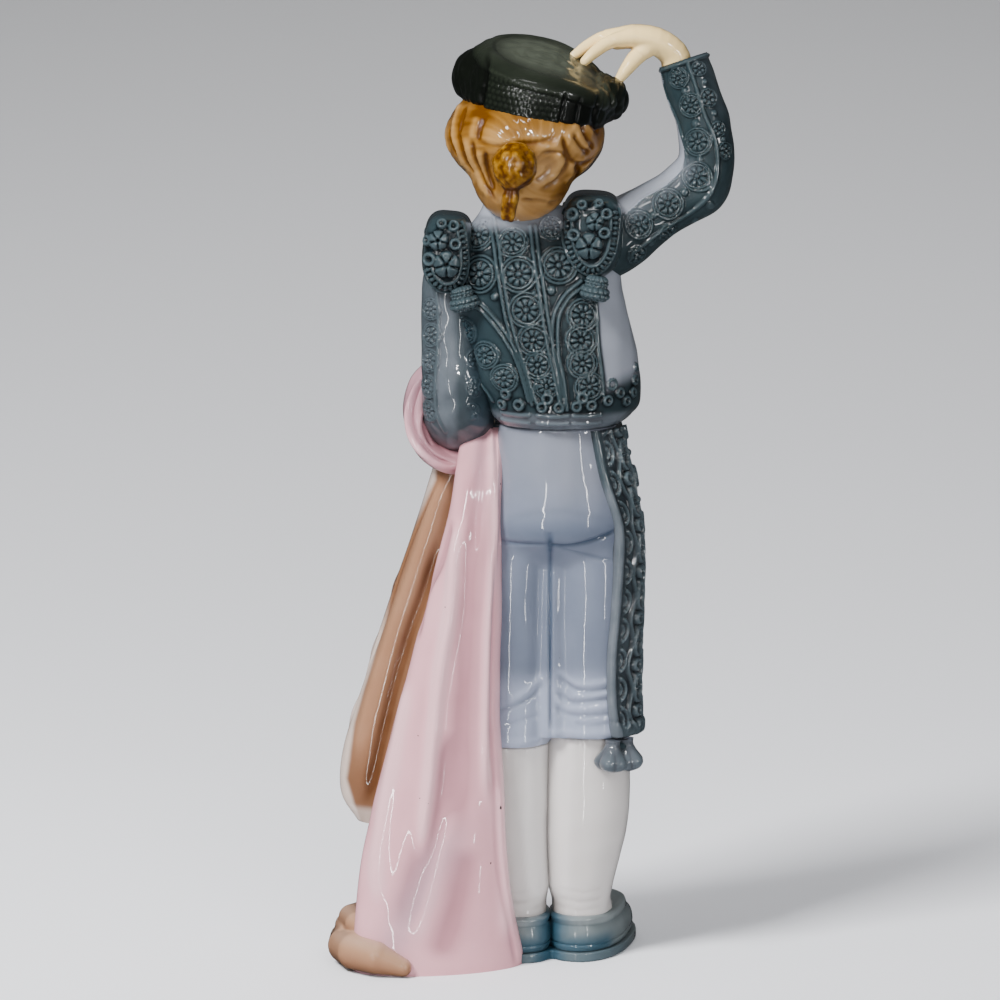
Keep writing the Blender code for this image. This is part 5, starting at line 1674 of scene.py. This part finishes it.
def hat_plate(x, y):
    """Height of the hat's flat crown in the hat's own axes: it leans to the back and swells a little."""
    swollen = 1.4 * (1 - np.clip((x * x + y * y) / 400.0, 0, 1))
    return 14.5 - 0.115 * y + swollen - 0.010 * np.minimum(x - 2.0, 0) ** 2 + 0.05 * np.maximum(x, 0)


def hat_wall_gap(x, y, z):
    """Distance outside the hat's wall."""
    heights, widths, depths = zip(*HAT_WALL)
    wide, deep = np.interp(z, heights, widths), np.interp(z, heights, depths)
    return (np.sqrt((x / wide) ** 2 + (y / deep) ** 2) - 1) * np.minimum(wide, deep)


def make_hat():
    block = Block((-35, -28, 281), (31, 27.5, 315), 0.44)
    local = [block.x - HAT_CENTRE[0], block.y - HAT_CENTRE[1], block.z - HAT_CENTRE[2]]
    x, y, z = tilted(*local, HAT_TILT)
    wall, plate = hat_wall_gap(x, y, z), z - hat_plate(x, y)
    blend = np.maximum(1 - np.abs(wall - plate) / 4.0, 0)
    crown = np.maximum(np.maximum(wall, plate) + blend * blend, -4.0 - z)
    block.add(crown.astype(np.float32), 0.1)
    lobes = [((20.8, -1.0, 4.2), (8.0, 9.0, 9.4)), ((-22.4, -1.0, 4.2), (7.4, 8.4, 7.2))]
    for centre, radii in lobes:
        block.add(block.ellipsoid(in_axes(HAT_CENTRE, HAT_TILT, centre), radii, HAT_TILT), 1.6)
    relief, quads = block.relief()
    local = to_axes(relief.points, HAT_CENTRE, HAT_TILT)
    x, y, z = local.T
    around = np.arctan2(x, y)
    below_rim = hat_plate(x, y) - z
    wall_gap = hat_wall_gap(x, y, z)
    left_lobe, right_lobe = step_up(x, 17.0, 18.6), step_up(-x, 18.4, 19.6)
    lobe = np.maximum(left_lobe, right_lobe)
    band = step_up(below_rim, 2.2, 3.2) * (1 - lobe)
    beaded = band * step_up(x, -8.6, -8.0)
    pitch = 1.9
    row = z / pitch
    column = around * 25.0 / pitch + 0.5 * (np.floor(row) % 2)
    studs = dome((row % 1) - 0.5, 0.5) * dome((column % 1) - 0.5, 0.5)
    relief.height += 0.24 * studs * beaded
    seams = np.maximum(swell(x + 8.3, 0.5), swell(x + 13.4, 0.5)) * band
    rim = dome(np.hypot(below_rim - 1.4, wall_gap + 1.2), 3.0)
    relief.height += 0.9 * rim - 0.45 * seams
    pleats = dome((x / 2.6) % 1 - 0.5, 0.5) * right_lobe
    relief.height += 0.45 * pleats + 0.25 * ripple(relief.points, 5.0, 5) * lobe
    # The crown's middle gets faint rings in its shape and a painted sheen in its colour, lighter as if it
    # caught the light.
    top = step_up(4.6 - below_rim, 0.0, 4.6) * step_up(-wall_gap, -1.0, 11.0)
    disc = np.hypot(x / 1.25, y - 3.0)
    rings = dome((disc / 2.4) % 1 - 0.5, 0.5) * step_up(9.4 - disc, 0.0, 1.0)
    relief.height += (0.14 * rings + 0.22 * ripple(relief.points, 6.0, 5)) * top
    crease = np.maximum(swell(x - 17.6, 0.8), swell(x + 19.2, 0.8)) * step_up(below_rim, 0.0, 2.0)
    relief.height -= 0.8 * crease
    moved, lift = relief.moved()
    lift = np.clip(0.8 * studs * beaded + 0.5 * pleats + 0.9 * rim - crease - seams - 0.2, -1, 1)
    shape = mesh_shape(moved, quads, lift=lift, top=0.9 * top)
    make_piece("hat", [shape], HAT_GLAZE)


# ---------------------------------------------------------------- hands


def rounded(rows):
    """The rows with more of them between, on a smooth curve."""
    return smooth_rows(rows, np.linspace(0, len(rows) - 1, 3 * len(rows) - 2))


def make_hand(name, wrist, digits, reference, low, high):
    block = Block(low, high, 0.36)
    block.add(block.flat_strand(rounded(wrist), reference), 0.1)
    for digit in digits:
        block.add(block.strand(rounded(digit)), 1.1)
    relief, quads = block.relief(1)
    nails = np.zeros(len(relief.points))
    for digit in digits:
        tip, before = np.array(digit[-1][:3]), np.array(digit[-2][:3])
        ahead = (tip - before) / np.linalg.norm(tip - before)
        joint = np.array(digit[1][:3])
        offset = relief.points - joint
        crease = swell(offset @ ahead, 0.5) * (np.linalg.norm(offset, axis=1) < 4.0)
        relief.height -= 0.12 * crease
        offset = relief.points - (tip - 0.2 * ahead)
        outward = relief.normals @ np.array((0.0, 0.4, 1.0)) / 1.08
        plate = (np.linalg.norm(offset, axis=1) < digit[-1][3] * 1.15) & (outward > 0.72)
        nails[plate] = 1.0
    moved, _ = relief.moved()
    shape = mesh_shape(moved, quads, lift=0.35, white=0.25 * nails)
    make_piece(name, [shape], SKIN_GLAZE)


# ---------------------------------------------------------------- cape

# Folds as a line of (x, z) points with their width and height; a negative height is a valley.
CAPE_FOLDS = [
    (
        [
            (21.9, 156.1), (24.8, 145.5), (26.6, 123.1), (29.6, 106), (31.8, 88), (33.2, 71.1),
            (35.4, 51.1), (37, 36),
        ],
        2.4, 2.2,
    ),
    ([(13.4, 192), (12.6, 150), (14.6, 114.8), (15.5, 74.7), (14.6, 55)], 1.6, 1.3),
    ([(18.6, 176), (21, 130), (22.6, 95), (23.4, 70), (24, 44)], 4, -1),
    ([(14, 190), (17.6, 162), (19, 140)], 2, -0.7),
    ([(26.5, 153.8), (30, 139.6), (34.7, 127.8), (38, 112)], 2, -1.1),
    ([(40.3, 100), (44.3, 81.1), (49, 57.1), (51.4, 38), (51, 22)], 3, 1.3),
    ([(27.4, 84), (29.4, 60), (36.2, 38.2), (42.9, 14.5)], 5, -1.3),
    ([(20, 44), (25.4, 21.2), (31.2, 4)], 5, -0.9),
    ([(24.8, 60), (32, 33), (38.5, 10)], 3.2, 0.7),
    ([(11.4, 66), (10.2, 44), (8.6, 24), (8.2, 8)], 3, 1),
]


def make_cape_back():
    heights = levels(CAPE_BACK_ROWS, 300)
    grid = level_grid(rows_at(CAPE_BACK_ROWS, heights), full_turn(260), 2.0, "turn")
    relief = grid_relief(grid)
    for line, width, tall in CAPE_FOLDS:
        relief.groove(line, width, -tall)
    x, _, z = relief.points.T
    level = np.repeat(heights, grid.shape[1])
    edge = rows_at(CAPE_BACK_ROWS, heights)
    right_edge = np.repeat(edge[:, 1] - edge[:, 3], grid.shape[1])
    edge_gap = x - right_edge
    relief.height += 0.45 * dome(edge_gap - 0.2, 2.0) - 0.4 * swell(edge_gap - 2.9, 0.8)
    relief.height += 0.10 * ripple(relief.points, 22.0, 14)
    relief.height *= step_up(level, -1.0, 5.0)
    ahead = -relief.normals[:, 1]
    front_waves = 0.9 * np.sin(x * 0.42 + 0.02 * z) * (ahead > 0) * step_up(170.0 - z, 0, 60.0)
    relief.height += front_waves * step_up(ahead, 0.1, 0.5)
    moved, lift = relief.moved()
    valley = swell(x - (52.0 - 0.52 * z), 7.0) * step_up(58.0 - z, 0.0, 20.0)
    shade = np.clip(0.5 * valley + 0.35 * step_up(z, 148.0, 172.0) * swell(x - 17.0, 3.0), 0, 1)
    shape = grid_shape(moved, lift=np.clip(0.45 * lift + 0.22, -1, 1), shade=shade.reshape(lift.shape))
    make_piece("cape_back_panel", [shape], PINK_GLAZE)


LINING_FOLDS = [
    ([(27.4, 168), (31, 158), (38.2, 135), (46, 113.5), (54, 88), (59, 66)], 3.4, 1.5),
    ([(30.6, 145), (35.6, 127), (41.6, 110), (47.6, 88.5), (53.2, 64), (56, 50)], 2.2, -1.4),
    ([(29.6, 166), (40.6, 140.7), (50, 112), (58.4, 89), (62.6, 74)], 1.1, -0.6),
]


# Where the lining ends and the pale edge begins, as (z, x).
LINING_EDGE = [
    (45, 56.5), (60, 61), (79, 58.2), (96, 52.8), (110, 49), (126, 45.5), (140, 41), (163, 30.4),
]


def make_cape_front():
    heights = levels(CAPE_FRONT_ROWS, 230)
    grid = level_grid(rows_at(CAPE_FRONT_ROWS, heights), full_turn(220), 2.0, "turn")
    relief = grid_relief(grid)
    for line, width, tall in LINING_FOLDS:
        relief.groove(line, width, -tall)
    x, _, z = relief.points.T
    facing = relief.normals[:, 1]
    ahead = step_up(-facing, 0.0, 0.4)
    relief.height += 1.0 * np.sin(x * 0.5 - 0.12 * z) * ahead * step_up(170.0 - z, 0.0, 50.0)
    relief.height *= step_up(z, 44.0, 52.0)
    moved, lift = relief.moved()
    edge_heights, edge_places = zip(*LINING_EDGE)
    lining_edge = np.interp(z, edge_heights, edge_places)
    pale = 0.8 * step_up(x - lining_edge, 0.6, 2.6)
    hem = 0.55 * step_up(52.0 - z, 0.0, 3.0) * (facing > 0)
    pale = np.clip(pale + hem, 0, 1).reshape(lift.shape)
    pink = step_up(-facing, 0.12, 0.3).reshape(lift.shape)
    low_part = step_up(90.0 - z, 0.0, 30.0).reshape(lift.shape)
    lift = np.clip(0.34 * lift + 0.02 - 0.12 * low_part, -1, 1)
    shape = grid_shape(moved, lift=lift, pale=pale, pink=pink)
    make_piece("cape_front_panel", [shape], TAN_GLAZE)


def make_cape_wrap():
    rows = rows_along(CAPE_WRAP_ROWS, 200)
    angles = full_turn(200)
    grid = path_grid(rows, (0, 1, 0), angles)
    relief = grid_relief(grid)
    angle = np.tile(angles, len(rows))
    share = np.repeat(np.linspace(0, 1, len(rows)), len(angles))
    turn = angle / math.pi
    folds = 3.2 * np.abs((turn + 0.9 * share) % 1 - 0.5)
    folds = folds + 1.0 * np.abs((1.5 * turn - 0.7 * share) % 1 - 0.5) - 1.0
    relief.height += folds * step_up(share, 0.0, 0.2) * step_up(1 - share, 0.0, 0.2) - 0.4
    relief.groove([(35.8, 200.0), (39.8, 190.0), (38.8, 180.0), (32.0, 172.6), (24.0, 169.6)], 1.0, 1.6)
    relief.groove([(37.4, 199.0), (41.8, 189.0), (40.4, 178.4), (33.0, 170.8)], 1.3, -1.0)
    relief.groove([(33.6, 190.0), (35.8, 183.0), (32.4, 176.0)], 1.0, 1.0)
    moved, lift = relief.moved()
    x, _, z = relief.points.T
    # Painted shade: the whole band is shaded, and deep wine-red shade lies on the inner side of its loop and
    # along its bottom under the sleeve.
    inward = step_up(30.0 - np.hypot(x - 27.0, (z - 186.0) * 0.7), 18.0, 24.0)
    wine = np.clip(0.45 * inward + 0.4 * swell(x - 27.0, 6.0) * step_up(173.0 - z, 0.0, 4.0), 0, 0.7)
    wine = wine.reshape(lift.shape)
    shape = grid_shape(moved, lift=np.clip(0.6 * lift - 0.05, -1, 1), shade=0.34, wine=wine)
    make_piece("cape_arm_wrap", [shape], PINK_GLAZE)


# The turned-up hem on the floor: rolls of the cape as (x, y, z, radius).
FLOOR_ROLLS = [
    [(43, 28.4, 3.4, 3.2), (52, 26.4, 6.2, 5.6), (59, 20, 6.8, 6.4), (62.6, 10, 6.2, 6), (63, -2, 5.6, 5.4)],
    [
        (53, 20.4, 12.2, 3.6), (58.6, 13, 14.6, 4.2), (60.8, 3, 14.2, 4.4), (58, -8, 12.6, 4.2),
        (50, -15, 9.6, 4.2),
    ],
    [
        (56, 18.4, 7, 4.6), (61.2, 9.4, 9.6, 4.6), (62.2, -1, 10.4, 4.4), (58, -12, 7.2, 5),
        (47, -18, 6.6, 5.4),
    ],
    [(47, 20, 6, 6), (55, 10, 7.6, 7.4), (56, -2, 7.8, 7.4), (50, -12, 7.4, 7)],
]


def make_floor_fold():
    block = Block((38, -27, -1.0), (70.5, 33, 22.5), 0.5)
    for roll in FLOOR_ROLLS:
        block.add(block.strand(roll), 0.55)
    block.keep_above(0.0)
    points, quads = block.skin()
    points[:, 2] = np.maximum(points[:, 2], 0.0)
    normals = mesh_normals(points, quads)
    # Painted light: faces that look up are lighter and a little paler, faces towards the back a little
    # lighter, and the undersides darker.
    lift = np.clip(0.9 * normals[:, 2] + 0.25 * normals[:, 1], -0.6, 1)
    pale = 0.12 * step_up(normals[:, 2], 0.3, 0.9)
    shape = mesh_shape(points, quads, lift=0.25 + 0.6 * lift, pale=pale)
    make_piece("cape_floor_fold", [shape], TAN_GLAZE)


# ---------------------------------------------------------------- stage, lights and camera


def place(x, y, z):
    """A design point in the frame's metres."""
    return Vector((np.array((x, y, z)) - DESIGN_CENTRE) * MM + FRAME_CENTRE)


def aim(obj, target):
    obj.rotation_euler = (target - obj.location).to_track_quat("-Z", "Y").to_euler()


def softbox(name, at, target, width, height, watts):
    """A rectangular lamp that faces its target."""
    data = bpy.data.lights.new(name, "AREA")
    data.shape = "RECTANGLE"
    data.size, data.size_y = width * MM, height * MM
    data.energy = watts
    lamp = bpy.data.objects.new(name, data)
    bpy.context.scene.collection.objects.link(lamp)
    lamp.location = place(*at)
    aim(lamp, place(*target))
    return lamp


# The paper is painted from pale on the floor to dark grey up the wall, as painted shade for the light's
# fall-off.
SWEEP_NEAR, SWEEP_FAR = (0.93, 0.94, 0.985), (0.245, 0.245, 0.247)
SWEEP_RADIUS, SWEEP_HALF_WIDTH, FLOOR_EDGE = 1500.0, 2600.0, 330.0


def sweep_profile():
    """Floor, curve and wall as (y, z, shade) points. The shade runs from 0 at the front to 1 up the wall."""
    start, radius = -260.0, SWEEP_RADIUS
    profile = [(FLOOR_EDGE, 0.0, 0.0), (0.0, 0.0, 0.02)]
    for step in range(41):
        angle = math.radians(2.25 * step)
        y, z = start - radius * math.sin(angle), radius * (1 - math.cos(angle))
        profile.append((y, z, 0.02 + 0.98 * min(1.0, step / 19)))
    return profile


def front_profile():
    """The floor from the sweep's near edge on, and the curve that it ends in."""
    start, radius = 1700.0, SWEEP_RADIUS
    profile = []
    for step in range(39, -1, -1):
        angle = math.radians(2.25 * step)
        profile.append((start + radius * math.sin(angle), radius * (1 - math.cos(angle)), 0.0))
    profile.append((FLOOR_EDGE, 0.0, 0.0))
    return profile


def sweep_material():
    """Matt paper that is clear from behind, so that the wall never hides the figurine."""
    material = bpy.data.materials.new("sweep_paper")
    material.use_nodes = True
    tree = material.node_tree
    shader = tree.nodes["Principled BSDF"]
    paper = mixed(tree, attribute_value(tree, "shade"), SWEEP_NEAR, SWEEP_FAR)
    tree.links.new(paper, shader.inputs["Base Color"])
    shader.inputs["Roughness"].default_value = 0.8
    shader.inputs["Specular IOR Level"].default_value = 0.1
    geometry = tree.nodes.new("ShaderNodeNewGeometry")
    clear = tree.nodes.new("ShaderNodeBsdfTransparent")
    one_sided = tree.nodes.new("ShaderNodeMixShader")
    tree.links.new(geometry.outputs["Backfacing"], one_sided.inputs[0])
    tree.links.new(shader.outputs[0], one_sided.inputs[1])
    tree.links.new(clear.outputs[0], one_sided.inputs[2])
    tree.links.new(one_sided.outputs[0], tree.nodes["Material Output"].inputs["Surface"])
    return material


def make_sweep(name, profile, material):
    """One wide sheet of the sweep along (y, z, shade) points."""
    points, faces, shades = [], [], []
    for y, z, shade in profile:
        points += [place(side * SWEEP_HALF_WIDTH, y, z) for side in (-1, 1)]
        shades += [shade, shade]
    for i in range(len(profile) - 1):
        faces.append((2 * i, 2 * i + 2, 2 * i + 3, 2 * i + 1))
    mesh = bpy.data.meshes.new(name)
    mesh.from_pydata(points, [], faces)
    mesh.attributes.new("shade", "FLOAT", "POINT").data.foreach_set("value", shades)
    mesh.shade_smooth()
    mesh.materials.append(material)
    sweep = bpy.data.objects.new(name, mesh)
    bpy.context.scene.collection.objects.link(sweep)
    sweep.visible_glossy = False
    return sweep


def make_stage():
    """A seamless pale sweep behind the figurine, and one before it that only the other views see."""
    material = sweep_material()
    make_sweep("sweep", sweep_profile(), material)
    front = make_sweep("front_sweep", front_profile(), material)
    front.visible_diffuse = False
    front.visible_shadow = False


ROOM_LIGHT, ROOM_REFLECTION = 0.10, 0.05


def make_world():
    """Even light from the room, with a darker room in the reflections."""
    world = bpy.data.worlds.new("room")
    world.use_nodes = True
    tree = world.node_tree
    background = tree.nodes["Background"]
    background.inputs["Color"].default_value = (0.84, 0.87, 0.92, 1.0)
    ray = tree.nodes.new("ShaderNodeLightPath")
    glossy = ray.outputs["Is Glossy Ray"]
    strength = sum_node(tree, "MULTIPLY_ADD", glossy, ROOM_REFLECTION - ROOM_LIGHT, ROOM_LIGHT)
    tree.links.new(strength, background.inputs["Strength"])
    bpy.context.scene.world = world


MIDDLE = (0.0, 0.0, 150.0)
# Name, place, target, width, height and watts of the lamps that light the colours.
BROAD_LAMPS = [
    ("key", (760.0, 700.0, 1150.0), MIDDLE, 420.0, 420.0, 42.0),
    ("fill", (-300.0, 1300.0, 500.0), MIDDLE, 900.0, 800.0, 12.0),
    ("top", (420.0, 200.0, 1250.0), MIDDLE, 800.0, 600.0, 1.8),
    ("front", (-200.0, -900.0, 1000.0), MIDDLE, 600.0, 600.0, 2.4),
    ("wall", (0.0, -350.0, 1350.0), (0.0, -900.0, 250.0), 1600.0, 300.0, 5.4),
]
# Name, place, width, height and watts of the lamps that only the gloss shows.
GLOSS_LAMPS = [
    ("window", (700.0, 1150.0, 760.0), 110.0, 200.0, 4.0),
    ("strip", (420.0, 1300.0, 60.0), 20.0, 900.0, 3.4),
    ("right_strip", (-760.0, 1000.0, 160.0), 24.0, 760.0, 2.2),
    ("bar", (100.0, 850.0, 1250.0), 460.0, 30.0, 2.0),
    ("side_window", (-900.0, 700.0, 560.0), 120.0, 160.0, 2.0),
]
# Smaller ones, as (x, z).
GLINTS = [(-330, 700), (-270, 706), (-205, 690), (60, 820), (130, 810)]


def make_lights():
    """Broad lamps that light the colours, and small ones that make the highlights."""
    for name, at, target, width, height, watts in BROAD_LAMPS:
        softbox(name, at, target, width, height, watts).visible_glossy = False
    for name, at, width, height, watts in GLOSS_LAMPS:
        softbox(name, at, MIDDLE, width, height, watts).visible_diffuse = False
    for number, (x, z) in enumerate(GLINTS):
        softbox(f"glint_{number}", (x, 1350.0, z), MIDDLE, 20.0, 20.0, 1.2).visible_diffuse = False
    make_world()


CAMERA_TARGET = (10.4, 0.0, 157.0)
CAMERA_DISTANCE = 1500.0
CAMERA_RISE = math.radians(9.0)
VIEW_WIDTH = 335.0


def make_camera():
    data = bpy.data.cameras.new("camera")
    data.sensor_width = 36.0
    data.lens = 36.0 * CAMERA_DISTANCE / VIEW_WIDTH
    data.clip_start, data.clip_end = 0.01, 20.0
    camera = bpy.data.objects.new("camera", data)
    bpy.context.scene.collection.objects.link(camera)
    x, y, z = CAMERA_TARGET
    behind, above = CAMERA_DISTANCE * math.cos(CAMERA_RISE), CAMERA_DISTANCE * math.sin(CAMERA_RISE)
    camera.location = place(x, y + behind, z + above)
    aim(camera, place(x, y, z))
    bpy.context.scene.camera = camera


def make_figurine():
    make_jacket()
    make_right_sleeve()
    make_left_sleeve()
    for name in EPAULETTES:
        make_epaulette(name)
    make_tassels()
    make_shirt()
    make_necktie()
    make_trouser_panel("right_trouser_panel", RIGHT_PANEL_ROWS)
    make_trouser_panel("left_trouser_panel", LEFT_PANEL_ROWS)
    make_breeches()
    make_stocking("right_stocking", RIGHT_CALF_ROWS, RIGHT_INSTEP_ROWS, -17.2)
    make_stocking("left_stocking", LEFT_CALF_ROWS, LEFT_INSTEP_ROWS, 4.2)
    make_shoe("right_shoe", RIGHT_SHOE_ROWS, -SHOE_TURN)
    make_shoe("left_shoe", LEFT_SHOE_ROWS, SHOE_TURN)
    make_base()
    make_head()
    make_hair()
    make_bun()
    make_hat()
    make_hand("right_hand", RIGHT_WRIST_ROWS, RIGHT_DIGITS, (0, 0, 1), (-57, -18, 293), (-8, 7, 318))
    make_hand("left_hand", LEFT_WRIST_ROWS, LEFT_DIGITS, (1, -1, 0), (-7, -54, 174), (25, -22, 204))
    make_cape_back()
    make_cape_front()
    make_cape_wrap()
    make_floor_fold()


make_figurine()
make_stage()
make_lights()
make_camera()
